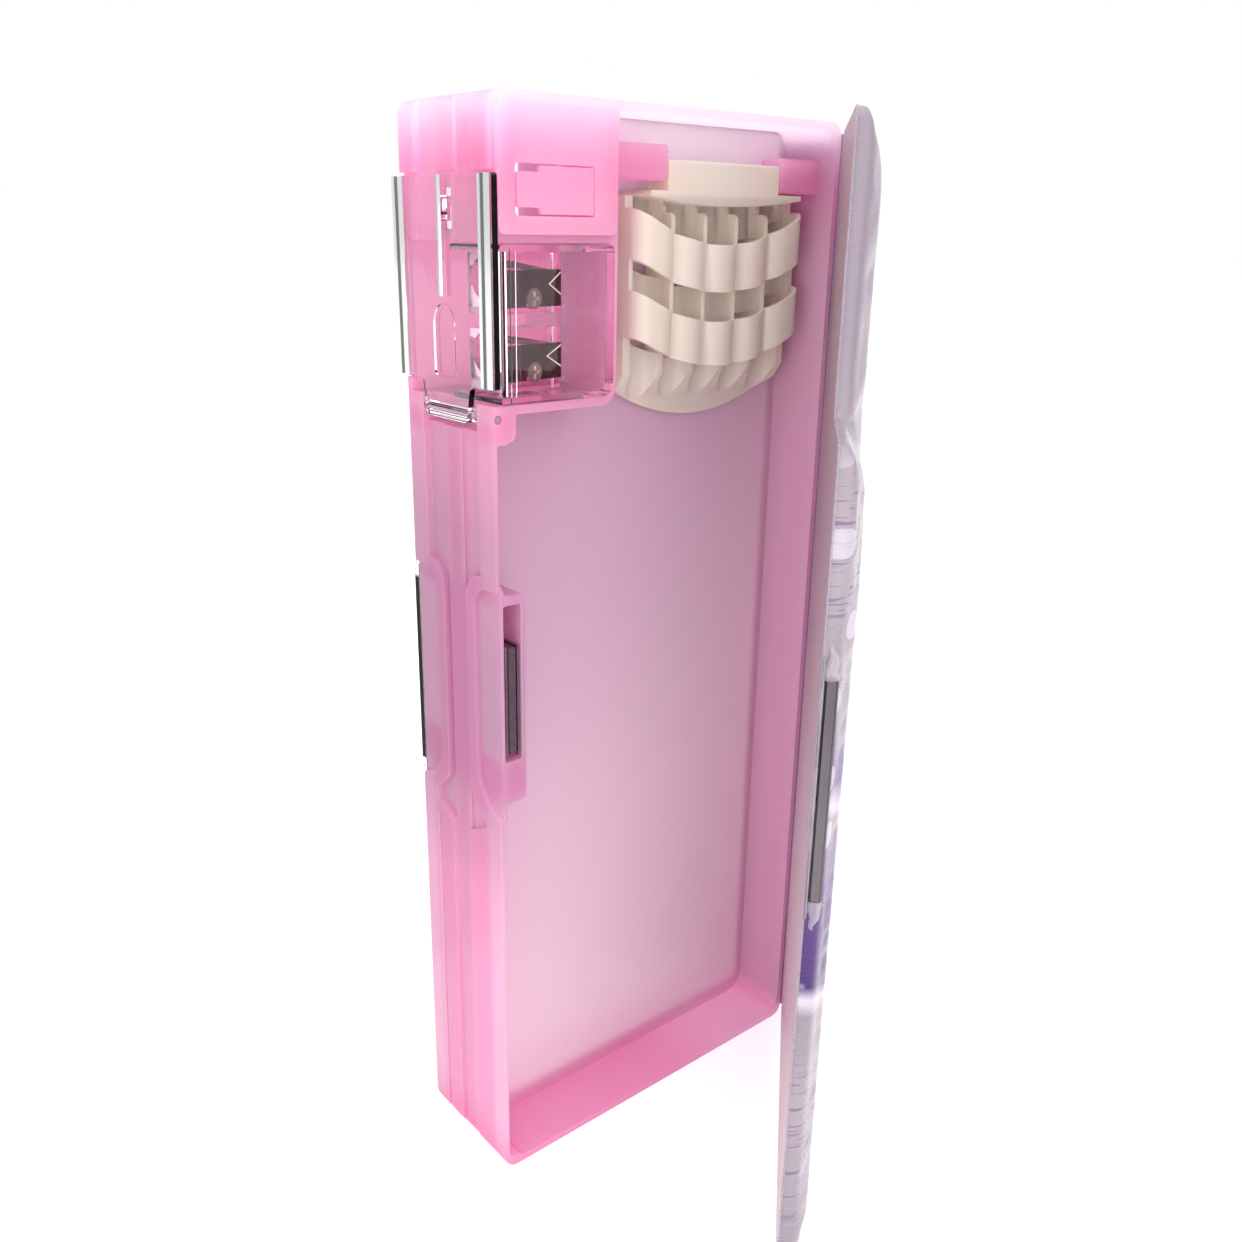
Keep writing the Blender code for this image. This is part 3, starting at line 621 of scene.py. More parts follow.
@dataclass(frozen=True)
class PrintedVinyl(Finish):
    """Lavender vinyl with a generic print of waves, dots and fine strokes, under a clear skin.

    The print's own unit is ten centimetres.
    """

    name: str = "printed_vinyl"
    lavender: Colour = srgb(150, 137, 150)
    mist: Colour = srgb(166, 155, 164)
    violet: Colour = srgb(96, 62, 128)
    deep: Colour = srgb(68, 42, 104)
    white: Colour = srgb(214, 206, 218)
    tall: float = 2.4
    wave: Point = (9.0, 0.06)
    low_strokes: tuple[Point, Point] = ((0.1, 0.25), (0.62, 0.5))
    high_strokes: tuple[Point, Point] = ((1.42, 1.48), (1.74, 1.66))
    dotted: tuple[Point, Point] = ((0.72, 0.76), (1.78, 1.7))

    def dress(self, graph: Graph, shader: Node) -> None:
        """Paint the print on the piece's own UV map.

        Args:
            graph: The material's nodes.
            shader: Its Principled shader.
        """
        uv = graph.node("ShaderNodeUVMap", uv_map="print").outputs["UV"]
        u, v, _ = graph.axes(uv)
        often, high = self.wave
        level = graph.maths("ADD", v, graph.times(graph.maths("SINE", graph.times(u, often)), high))
        bands = graph.ramp(graph.maths("DIVIDE", level, self.tall), (
            (0.0, self.lavender), (0.20, self.mist), (0.285, self.lavender), (0.30, self.white),
            (0.312, self.deep), (0.40, self.violet), (0.46, self.lavender), (0.47, self.white),
            (0.49, self.violet), (0.55, self.lavender), (0.66, self.mist), (0.80, self.lavender),
            (1.0, self.lavender),
        ))
        strokes = graph.span(graph.noise(graph.stretched(uv, (26.0, 150.0, 1.0), 0.3), 1.0, 2.0), 0.56, 0.62)
        where = graph.maths("ADD", graph.between(v, *self.low_strokes), graph.between(v, *self.high_strokes))
        inked = graph.blend(graph.times(strokes, where, 0.55), bands, self.violet)
        inputs = {"Vector": uv, "Scale": 7.0, "Randomness": 0.55}
        cells = graph.node("ShaderNodeTexVoronoi", inputs, voronoi_dimensions="2D")
        dots = graph.span(cells.outputs["Distance"], 0.17, 0.19, FALLING)
        tint = graph.blend(graph.times(dots, graph.between(level, *self.dotted), 0.6), inked, self.white)
        grain, _ = Effects.grain(graph, uv, 170.0)
        graph.fill(
            shader, Base_Color=tint, Roughness=graph.span(grain, 0.3, 0.7, (0.18, 0.3)),
            Coat_Weight=0.08, Coat_Roughness=0.15, IOR=1.35,
        )
        self.bump(graph, shader, graph.noise(uv, 34.0, 4.0, 0.55), 0.15, 0.0003)


@dataclass(frozen=True)
class ClearFilm(Finish):
    """Clear soft vinyl of the striker sleeves and sealed edges: shiny, a little milky and crinkled."""

    name: str = "clear_film"
    milk: Colour = srgb(240, 232, 240)
    crinkle: float = 0.5

    def dress(self, graph: Graph, shader: Node) -> None:
        """Mostly clear, with crinkles in the bump.

        Args:
            graph: The material's nodes.
            shader: Its Principled shader.
        """
        folds = graph.noise(graph.place(), 420.0)
        rough = graph.span(folds, 0.3, 0.7, (0.06, 0.16))
        graph.fill(shader, Base_Color=self.milk, Roughness=rough, Transmission_Weight=0.72, IOR=1.35)
        self.bump(graph, shader, folds, self.crinkle, 0.0005)


@dataclass(frozen=True)
class PlainVinyl(Finish):
    """Plain lavender vinyl of the spine and hinge strips, with a leather-like press grain."""

    name: str = "spine_vinyl"
    body: Colour = srgb(176, 162, 188)
    shade: Colour = srgb(160, 145, 174)

    def dress(self, graph: Graph, shader: Node) -> None:
        """Pressed cells in the bump, a drift in the colour and a clear skin.

        Args:
            graph: The material's nodes.
            shader: Its Principled shader.
        """
        where = graph.place()
        grain, drift = Effects.grain(graph, where, 1500.0)
        graph.fill(
            shader, Base_Color=graph.blend(graph.span(drift, 0.3, 0.7), self.body, self.shade),
            Roughness=graph.span(grain, 0.3, 0.7, (0.26, 0.4)), Coat_Weight=0.3, Coat_Roughness=0.15, IOR=1.5,
        )
        cells = graph.node("ShaderNodeTexVoronoi", {"Vector": where, "Scale": 900.0}, feature="SMOOTH_F1")
        self.bump(graph, shader, cells.outputs["Distance"], 0.2, 0.0002)


class Finishes:
    """The finishes of the case, each made once."""

    pink = PinkPlastic()
    clear = ClearPlastic()
    tinted = ClearPlastic("tinted_plastic", srgb(246, 198, 223))
    white = WhitePlastic()
    ferrite = Ferrite()
    lining = Lining()
    vinyl = PrintedVinyl()
    film = ClearFilm()
    spine = PlainVinyl()
    chrome = Metal("chrome_strip", srgb(226, 228, 228), srgb(214, 217, 216), (0.08, 0.16), 0.08)
    steel = Metal("dark_steel", srgb(106, 101, 104), srgb(88, 83, 86), (0.12, 0.22), 0.2)
    plate = Metal("plate_steel", srgb(176, 168, 172), srgb(140, 130, 136), (0.22, 0.36), 0.25)
    # The blades' maroon colour is a painted reflection of the pink case around them.
    blade = Metal("blade_steel", srgb(84, 26, 42), srgb(68, 20, 34), (0.26, 0.36), 0.15)
    screw = Metal("screw_steel", srgb(200, 190, 176), srgb(168, 156, 142), (0.14, 0.24), 0.1)


class Shape:
    """Mesh-making helpers, with the distance and angles at which a CAD mesh is cleaned up."""

    MERGED = 2e-6
    FLAT = math.radians(0.4)
    SHARP = math.radians(35)

    @staticmethod
    def place(name: str, data: bpy.types.ID) -> Object:
        """Put an object with this data in the scene, at the origin.

        Args:
            name: The object's name.
            data: Its mesh, lamp or camera.

        Returns:
            The object.
        """
        obj = bpy.data.objects.new(name, data)
        bpy.context.scene.collection.objects.link(obj)
        return obj

    @staticmethod
    def piece(name: str, points: np.ndarray, faces: Sequence[Sequence[int]], finish: Finish) -> Object:
        """Make an object at the origin from points in case millimetres.

        Args:
            name: The piece's name.
            points: Vertices in case millimetres.
            faces: Vertex numbers of each face.
            finish: The finish of the whole piece.

        Returns:
            The object, shaded smooth, with its faces pointing outwards.
        """
        mesh = bpy.data.meshes.new(name)
        mesh.from_pydata([tuple(p) for p in CASE.metres(points)], [], [tuple(f) for f in faces])
        bm = bmesh.new()
        bm.from_mesh(mesh)
        bmesh.ops.recalc_face_normals(bm, faces=bm.faces)
        bm.to_mesh(mesh)
        bm.free()
        mesh.shade_smooth()
        mesh.materials.append(finish.material())
        return Shape.place(name, mesh)

    @staticmethod
    def rounded(corners: Sequence[Place], steps: int = 6) -> list[Point]:
        """Outline through corners with a radius each.

        Args:
            corners: Corners as (u, v, radius), in order.
            steps: Parts of each arc.

        Returns:
            The points of the outline.
        """
        points: list[Point] = []
        count = len(corners)
        for i, (u, v, radius) in enumerate(corners):
            here = Vector((u, v))
            before = (Vector(corners[i - 1][:2]) - here).normalized()
            after = (Vector(corners[(i + 1) % count][:2]) - here).normalized()
            half = before.angle(after) / 2
            reach = radius / math.tan(half)
            centre = here + (before + after).normalized() * radius / math.sin(half)
            start = here + before * reach - centre
            sweep = start.angle_signed(here + after * reach - centre)
            for k in range(steps + 1):
                spot = centre + Matrix.Rotation(-sweep * k / steps, 2) @ start
                points.append((spot.x, spot.y))
        return points

    @staticmethod
    def spaced(outline: Sequence[Point], step: float) -> list[Point]:
        """Walk round a closed outline in steps of about one length, keeping its corners.

        Args:
            outline: Points of the outline.
            step: About how far apart the new points are.

        Returns:
            The new points.
        """
        points: list[Point] = []
        for here, there in zip(outline, [*outline[1:], outline[0]]):
            parts = max(1, round(math.dist(here, there) / step))
            for k in range(parts):
                points.append(tuple(a + (b - a) * (k / parts) for a, b in zip(here, there)))
        return points

    @staticmethod
    def stood(flat: np.ndarray, y: float | np.ndarray) -> np.ndarray:
        """Points (x, y, z) from points (x, z), all at one y or each at its own."""
        return np.column_stack([flat[:, 0], np.broadcast_to(y, len(flat)), flat[:, 1]])

    @staticmethod
    def closed_edges(count: int) -> list[tuple[int, int]]:
        """Edges of a closed loop of points."""
        return [(i, (i + 1) % count) for i in range(count)]

    @staticmethod
    def swept(rings: np.ndarray, closed: bool) -> tuple[np.ndarray, Faces]:
        """Join rings of points into a skin, with a face over each open end.

        Args:
            rings: Points as (ring, point in ring, 3).
            closed: Whether the last ring joins the first.

        Returns:
            Vertices and faces.
        """
        count, size = rings.shape[:2]
        faces: Faces = []
        for i in range(count if closed else count - 1):
            here, there = i * size, (i + 1) % count * size
            faces += [(here + j, here + n, there + n, there + j) for j, n in Shape.closed_edges(size)]
        if not closed:
            faces.append(tuple(range(size)))
            faces.append(tuple((count - 1) * size + j for j in range(size)))
        return rings.reshape(-1, 3), faces

    @staticmethod
    def refined(node: str, finish: Finish, soften: float, slot: str) -> Object:
        """Make a copy of a CAD node with its edges softened, which stands for the node.

        Args:
            node: The CAD node's name.
            finish: Its finish.
            soften: Width of the soft edges, in millimetres.
            slot: Not used.

        Returns:
            The new piece, riding on the node's body.
        """
        source = frame["nodes"][node]
        bm = bmesh.new()
        bm.from_mesh(source.data)
        bmesh.ops.remove_doubles(bm, verts=bm.verts, dist=Shape.MERGED)
        bmesh.ops.dissolve_limit(bm, angle_limit=Shape.FLAT, verts=bm.verts, edges=bm.edges)
        mesh = bpy.data.meshes.new(node + "_skin")
        bm.to_mesh(mesh)
        bm.free()
        mesh.shade_smooth()
        mesh.set_sharp_from_angle(angle=Shape.SHARP)
        mesh.materials.clear()
        mesh.materials.append(finish.material())
        obj = Shape.place(node + "_skin", mesh)
        if soften:
            bevel = obj.modifiers.new("soft_edges", "BEVEL")
            bevel.width = soften * MM
            bevel.segments = 2
            bevel.limit_method = "ANGLE"
            bevel.angle_limit = Shape.SHARP
            bevel.use_clamp_overlap = False
            bevel.loop_slide = True
        weigh = obj.modifiers.new("even_normals", "WEIGHTED_NORMAL")
        weigh.keep_sharp = not soften
        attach(obj, source["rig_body"])
        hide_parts(node)
        LOG.info("piece %s stands for %s", obj.name, node)
        return obj

    @staticmethod
    def dress_node(node: str, finish: Finish) -> None:
        """Give a CAD node that stays its finish.

        Args:
            node: The CAD node's name.
            finish: Its finish.
        """
        mesh = frame["nodes"][node].data
        mesh.materials.clear()
        mesh.materials.append(finish.material())
        LOG.info("node %s keeps its shape", node)


@dataclass
class CaseBody:
    """Pink moulding with its latch magnets."""

    soften: float = 0.16

    def build(self) -> None:
        """Dress the shell, the corner block, its tongue and the latch magnets."""
        for node in ("body_shell", "button_housing", "release_tongue"):
            Shape.refined(node, Finishes.pink, self.soften, "pink_plastic")
        for side in Side:
            Shape.dress_node(f"{side.value}_magnet", Finishes.ferrite)
            for plate in ("outer", "inner"):
                Shape.dress_node(f"{side.value}_magnet_plate_{plate}", Finishes.plate)


@dataclass
class SharpenerCorner:
    """Clear box with two sharpeners, behind a clear door with plated strips.

    A blade runs from start, turned from X. Each one is (name, height of its lower edge, tip of its line).
    """

    start: Point = (3.6, 3.9)
    turn: float = 8.18
    face: float = -0.9
    line: float = 0.34
    raised: float = 0.07
    arms_end: float = 15.45
    arms_up: Point = (2.2, 6.2)
    blades: tuple[tuple[str, float, Point], ...] = (
        ("upper", 193.3, (12.4, 4.1)), ("lower", 179.8, (11.7, 4.3)),
    )

    def chevron(self, name: str, low: float, tip: Point) -> Object:
        """Bright pointed line on a blade, in two raised arms that meet at its tip.

        Args:
            name: Which sharpener.
            low: Height of the blade's lower edge.
            tip: The tip, along the blade and up it.

        Returns:
            The piece, which rides with the blade.
        """
        cos, sin = math.cos(math.radians(self.turn)), math.sin(math.radians(self.turn))
        end, half = self.arms_end, self.line / 2
        under, over = self.arms_up
        pairs = (
            ((end, over + half), (end, over - half)),
            ((tip[0] - half, tip[1]), (tip[0] + 1.6 * half, tip[1])),
            ((end, under - half), (end, under + half)),
        )
        top = self.face - self.raised
        rings = [
            [
                (self.start[0] + a * cos - y * sin, self.start[1] + a * sin + y * cos, low + b)
                for (a, b), y in ((near, self.face), (far, self.face), (far, top), (near, top))
            ]
            for near, far in pairs
        ]
        points, faces = Shape.swept(np.array(rings), closed=False)
        obj = Shape.piece(f"blade_line_{name}", points, faces, Finishes.white)
        obj.data.shade_flat()
        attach(obj, frame["nodes"][f"blade_{name}"]["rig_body"])
        LOG.info("piece %s", obj.name)
        return obj

    def build(self) -> None:
        """Dress the clear pieces, blades, screws and strips."""
        for blade in self.blades:
            self.chevron(*blade)
        for node in ("sharpener_case", "sharpener_door"):
            self.see_through(node, Finishes.clear)
        for name, *_ in self.blades:
            self.see_through("sharpener_body_" + name, Finishes.tinted)
            Shape.dress_node("blade_" + name, Finishes.blade)
            Shape.refined("blade_screw_" + name, Finishes.screw, 0.0, "screw_steel")
        for name in ("front", "back", "centre"):
            Shape.refined("door_trim_" + name, Finishes.chrome, 0.0, "chrome_strip")
        self.see_through("door_pivot_pin", Finishes.film)

    @staticmethod
    def see_through(node: str, finish: Finish) -> None:
        """Dress a clear node, which throws no shadow."""
        Shape.refined(node, finish, 0.0, "clear_plastic").visible_shadow = False


@dataclass
class PencilRack:
    """White rack with five scalloped loops."""

    def build(self) -> None:
        """Dress the rack."""
        Shape.refined("pencil_rack", Finishes.white, 0.0, "white_plastic")


@dataclass(frozen=True)
class SkinCloth:
    """Cloth settings of a lid's loose skin, named as Blender names them."""

    quality: int = 7
    mass: float = 0.15
    tension_stiffness: float = 25.0
    compression_stiffness: float = 25.0
    shear_stiffness: float = 8.0
    bending_stiffness: float = 0.08
    vertex_group_mass: str = "held"
    pin_stiffness: float = 1.0
    use_pressure: bool = True
    uniform_pressure_force: float = 1.2
    shrink_min: float = -0.012


@dataclass
class LidCover:
    """Padded cover of a lid: a vinyl skin blown up over foam and wrapped round the lid's edge.

    Heights stand off the pad's base. Each ring of the wrap is (inset, y, y beside the hinge), and each
    crease is (height on the lid, reach, depth).
    """

    side: Side
    free_x: float = 2.9
    hinge_gap: float = 1.0
    low: float = 2.5
    high: float = 227.8
    cut_x: float = 30.7
    cut_z: float = 175.2
    corner: float = 3.0
    base: float = -1.8
    crown: float = 3.9
    most: float = 4.5
    spacing: float = 2.1
    frames: int = 22
    edge_rings: tuple[float, ...] = (0.0, 0.45, 1.5, 3.2)
    clear_of_edge: float = 4.6
    beside_hinge: float = 3.5
    slope: tuple[float, ...] = (0.0, 0.4, 1.5, 3.4, 6.5, 12.0)
    end_slope: tuple[float, ...] = (0.0, 1.7, 3.4, 5.6, 9.0, 14.5)
    rise: tuple[float, ...] = (0.6, 1.6, 2.6, 3.3, 3.7)
    creased: tuple[Place, ...] = ((168.0, 9.0, 0.55), (144.0, 8.0, 0.4), (85.0, 7.0, 0.4))
    wrap: tuple[Place, ...] = (
        (-0.2, -1.75, -1.75), (-0.23, -0.95, -1.72), (-0.1, -0.55, -1.68), (0.25, -0.6, -1.7),
        (0.5, -1.8, -1.8),
    )

    def outline(self, inset: float = 0.0) -> list[Point]:
        """Outline of the lid, drawn in by an inset.

        Args:
            inset: How far it is drawn in.

        Returns:
            Points as (x, z).
        """
        left, right = self.free_x + inset, CASE.width - self.hinge_gap - inset
        low, high = self.low + inset, self.high - inset
        step_x, step_z = self.cut_x + inset, self.cut_z - inset
        out = max(self.corner - inset, 0.5)
        return Shape.rounded([
            (left, low, out), (right, low, out), (right, high, out), (step_x, high, out),
            (step_x, step_z, self.corner + inset), (left, step_z, out),
        ])

    def profile(self, spots: np.ndarray, away: np.ndarray) -> np.ndarray:
        """Height of the pad: steep along its sides, with longer slopes at its ends.

        Args:
            spots: Points as (x, z).
            away: Their distance from the edge.

        Returns:
            How far each stands off the base.
        """
        x, z = spots.T
        step = np.where(z < self.cut_z, self.cut_z - z + 1.8 * np.maximum(x - self.cut_x, 0), np.inf)
        ends = np.minimum.reduce([z - self.low, self.high - z, step])
        by_end = np.interp(ends, self.end_slope, self.slope)
        inset = np.minimum(away, np.maximum(by_end, 0.0))
        return np.interp(inset, self.slope, (*self.rise, self.crown))

    def puckers(self, spots: np.ndarray) -> np.ndarray:
        """Creases of the loose skin by the cut-out step and by the striker's ends, in millimetres.

        Args:
            spots: Points as (x, z).

        Returns:
            How far each is raised.
        """
        x, z = spots.T
        near = np.exp(-(((x - self.free_x) / 9.0) ** 2))
        where = sum(depth * np.exp(-(((z - at) / reach) ** 2)) for at, reach, depth in self.creased)
        long_folds = np.abs(np.sin(0.9 * z + 0.55 * x + 1.3 * np.sin(0.37 * x)))
        short_folds = 0.6 * np.abs(np.sin(1.7 * z - 0.8 * x))
        return near * where * (long_folds + short_folds - 0.9)

    def ring(self, edge: np.ndarray, inset: float) -> np.ndarray:
        """Draw the edge's points in by an inset.

        Args:
            edge: Points of the edge, as (x, z).
            inset: How far they are drawn in.

        Returns:
            The points drawn in.
        """
        ahead = np.roll(edge, -1, axis=0) - np.roll(edge, 1, axis=0)
        ahead /= np.hypot(*ahead.T)[:, None]
        return edge + np.column_stack([-ahead[:, 1], ahead[:, 0]]) * inset

    @staticmethod
    def filled(spots: Sequence[Sequence[float]], edge: int) -> tuple[np.ndarray, Faces]:
        """Fill a loop with triangles through every spot.

        Args:
            spots: Points as (x, z), with the loop first.
            edge: How many of them are on the loop.

        Returns:
            The points in their final order, and the triangles.
        """
        loop = Shape.closed_edges(edge)
        found, _, triangles, *_ = geometry.delaunay_2d_cdt([Vector(p) for p in spots], loop, [], 1, 1e-6)
        return np.array([tuple(p) for p in found]), [tuple(t) for t in triangles]

    def skin(self) -> tuple[np.ndarray, Faces, int]:
        """Lay out the flat skin.

        Returns:
            Points as (x, z), triangles, and how many points at the start are on the edge.
        """
        edge = np.array(Shape.spaced(self.outline(), self.spacing))
        spots = [tuple(p) for inset in self.edge_rings for p in self.ring(edge, inset)]
        rows = int((self.high - self.low) / (self.spacing * 0.87))
        for row in range(1, rows):
            z = self.low + (self.high - self.low) * row / rows
            shift = 0.5 * self.spacing * (row % 2)
            for column in range(int((CASE.width - self.free_x) / self.spacing) + 1):
                x = self.free_x + shift + column * self.spacing
                inside = x < CASE.width - self.hinge_gap and not (x < self.cut_x and z > self.cut_z)
                if inside and np.hypot(*(edge - (x, z)).T).min() > self.clear_of_edge:
                    spots.append((x, z))
        return (*self.filled(spots, len(edge)), len(edge))

    def blown(self, start: np.ndarray, triangles: Faces, edge: int) -> np.ndarray:
        """Blow the skin up with Cloth, its edge held.

        Args:
            start: Points of a slightly flat pad, as (x, z, height) in millimetres.
            triangles: Their triangles.
            edge: How many points at the start are on the edge.

        Returns:
            Where the points end up, as (x, z, height) in millimetres.
        """
        grow = 0.01
        mesh = bpy.data.meshes.new("skin_trial")
        mesh.from_pydata([tuple(p) for p in start * grow], [], triangles)
        bm = bmesh.new()
        bm.from_mesh(mesh)
        for face in bm.faces:
            if face.normal.z < 0:
                face.normal_flip()
        bm.to_mesh(mesh)
        bm.free()
        trial = Shape.place("skin_trial", mesh)
        trial.vertex_groups.new(name="held").add(list(range(edge)), 1.0, "ADD")
        cloth = trial.modifiers.new("cloth", "CLOTH")
        for key, value in asdict(SkinCloth()).items():
            setattr(cloth.settings, key, value)
        cloth.settings.effector_weights.gravity = 0.0
        cloth.point_cache.frame_start = 1
        cloth.point_cache.frame_end = self.frames
        for step in range(1, self.frames + 1):
            bpy.context.scene.frame_set(step)
        shown = trial.evaluated_get(bpy.context.evaluated_depsgraph_get())
        moved = np.array([tuple(v.co) for v in shown.data.vertices]) / grow
        bpy.context.scene.frame_set(1)
        bpy.data.objects.remove(trial, do_unlink=True)
        bpy.data.meshes.remove(mesh)
        return moved

    def raised(self, spots: np.ndarray, triangles: Faces, edge: int) -> tuple[np.ndarray, np.ndarray]:
        """Raise the flat skin to the pad's form, with its creases.

        Args:
            spots: Points of the flat skin, as (x, z).
            triangles: Their triangles.
            edge: How many points at the start are on the edge.

        Returns:
            Where the points are now, as (x, z), and how far each stands off the base.
        """
        away = np.array([np.hypot(*(spots[:edge] - spot).T).min() for spot in spots])
        height = self.profile(spots, away)
        places = spots.copy()
        moved = self.blown(np.column_stack([spots, height * 0.9]), triangles, edge)
        LOG.info("skin rose by %.2f to %.2f mm", *(np.percentile(moved[:, 2] - height, (5, 95))))
        free = np.minimum(away / 2.0, 1.0)
        height = height + free * np.clip(moved[:, 2] - height, -0.5, self.most - self.crown)
        places = spots + free[:, None] * np.clip(moved[:, :2] - spots, -0.6, 0.6)
        return places, height + np.minimum(away / 2.5, 1.0) * self.puckers(spots)

    def build(self) -> Object:
        """Make the cover.

        Returns:
            The closed, crowned piece, which stands for the CAD pad.
        """
        spots, triangles, edge = self.skin()
        places, height = self.raised(spots, triangles, edge)
        skirt = [self.ring(spots[:edge], inset) for inset, *_ in self.wrap]
        parts = [Shape.stood(places, self.base - height)]
        for ring, (_, level, by_hinge) in zip(skirt, self.wrap):
            hinge_side = ring[:, 0] > CASE.width - self.beside_hinge
            parts.append(Shape.stood(ring, np.where(hinge_side, by_hinge, level)))
        starts = [0, *(len(places) + k * edge for k in range(len(skirt)))]
        loop = Shape.closed_edges(edge)
        band = [(a + i, a + n, b + n, b + i) for a, b in zip(starts, starts[1:]) for i, n in loop]
        _, floor = self.filled(skirt[-1], edge)
        faces = [*triangles, *band, *[tuple(starts[-1] + i for i in t) for t in floor]]
        skin = np.vstack(parts)
        obj = Shape.piece(f"{self.side.lid}_cover", CASE.on_lid(skin, self.side), faces, Finishes.vinyl)
        self.lay_print(obj, np.vstack([places, *skirt]))
        smooth = obj.modifiers.new("soft_skin", "SUBSURF")
        smooth.levels = smooth.render_levels = 1
        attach(obj, self.side.lid)
        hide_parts(f"{self.side.value}_lid_pad")
        LOG.info("piece %s: %d points", obj.name, len(skin))
        return obj

    def lay_print(self, obj: Object, places: np.ndarray) -> None:
        """Give the cover the UV map of its print, whose unit is ten centimetres.

        Args:
            obj: The cover.
            places: Where each of its vertices lies, as (x, z) in millimetres.
        """
        layer = obj.data.uv_layers.new(name="print")
        numbers = np.zeros(len(obj.data.loops), np.int32)
        obj.data.loops.foreach_get("vertex_index", numbers)
        layer.uv.foreach_set("vector", (places[numbers] * 0.01).astype(np.float32).ravel())


@dataclass(frozen=True)
class WeldRibs:
    """Small cross ribs that the sealing tool leaves along a lid's edge, set by Geometry Nodes."""

    pitch: float = 1.1
    across: float = 0.3
    along: float = 0.22
    tall: float = 0.27

    def tree(self) -> Tree:
        """Build the tree that sets ribs along a line, or give the one already built.

        Returns:
            The tree.
        """
        name = "weld_ribs"
        if name in bpy.data.node_groups:
            return bpy.data.node_groups[name]
        tree = bpy.data.node_groups.new(name, "GeometryNodeTree")
        tree.interface.new_socket("Line", in_out="INPUT", socket_type="NodeSocketGeometry")
        for key, value in asdict(self).items():
            socket = tree.interface.new_socket(key.title(), in_out="INPUT", socket_type="NodeSocketFloat")
            socket.default_value = value * MM
        tree.interface.new_socket("Facing", in_out="INPUT", socket_type="NodeSocketVector")
        tree.interface.new_socket("Finish", in_out="INPUT", socket_type="NodeSocketMaterial")
        tree.interface.new_socket("Ribs", in_out="OUTPUT", socket_type="NodeSocketGeometry")
        graph = Graph(tree)
        start = graph.node("NodeGroupInput").outputs
        curve = graph.node("GeometryNodeMeshToCurve", {"Mesh": start["Line"]}).outputs[0]
        spacing = {"Curve": curve, "Length": start["Pitch"]}
        even = graph.node("GeometryNodeResampleCurve", spacing, mode="LENGTH")
        bead = graph.node("GeometryNodeMeshUVSphere", {"Segments": 8, "Rings": 4, "Radius": 1.0})
        ahead = graph.node("GeometryNodeInputTangent").outputs[0]
        up = graph.node("FunctionNodeAlignRotationToVector", {"Vector": start["Facing"]}, axis="Z")
        turn = graph.node(
            "FunctionNodeAlignRotationToVector", {"Rotation": up.outputs[0], "Vector": ahead},
            axis="Y", pivot_axis="Z",
        )
        sizes = {"X": start["Across"], "Y": start["Along"], "Z": start["Tall"]}
        size = graph.node("ShaderNodeCombineXYZ", sizes)
        ribs = graph.node("GeometryNodeInstanceOnPoints", {
            "Points": even.outputs[0], "Instance": bead.outputs["Mesh"],
            "Rotation": turn.outputs[0], "Scale": size.outputs[0],
        })
        real = graph.node("GeometryNodeRealizeInstances", {"Geometry": ribs.outputs[0]})
        smooth = graph.node("GeometryNodeSetShadeSmooth", {0: real.outputs[0]})
        dressed = graph.node("GeometryNodeSetMaterial")
        graph.fill(dressed, Geometry=smooth.outputs[0], Material=start["Finish"])
        graph.fill(graph.node("NodeGroupOutput"), Ribs=dressed.outputs[0])
        return tree

    def build(self, name: str, line: np.ndarray, facing: Sequence[float], finish: Finish) -> Object:
        """Set the ribs along a closed line.

        Args:
            name: The piece's name.
            line: Points of the line, in case millimetres.
            facing: Direction the lid faces.
            finish: The ribs' finish.

        Returns:
            The ribs as a plain mesh.
        """
        mesh = bpy.data.meshes.new(name + "_line")
        mesh.from_pydata([tuple(p) for p in CASE.metres(line)], Shape.closed_edges(len(line)), [])
        obj = Shape.place(name, mesh)
        tree = self.tree()
        setter = obj.modifiers.new("ribs", "NODES")
        setter.node_group = tree
        values = {"Facing": tuple(facing), "Finish": finish.material(), "Pitch": self.pitch * MM}
        for socket in tree.interface.items_tree:
            if socket.in_out == "INPUT" and socket.name in values:
                setter[socket.identifier] = values[socket.name]
        shown = obj.evaluated_get(bpy.context.evaluated_depsgraph_get())
        made = bpy.data.meshes.new_from_object(shown)
        obj.modifiers.clear()
        obj.data = made
        bpy.data.meshes.remove(mesh)
        LOG.info("piece %s: %d faces", name, len(made.polygons))
        return obj


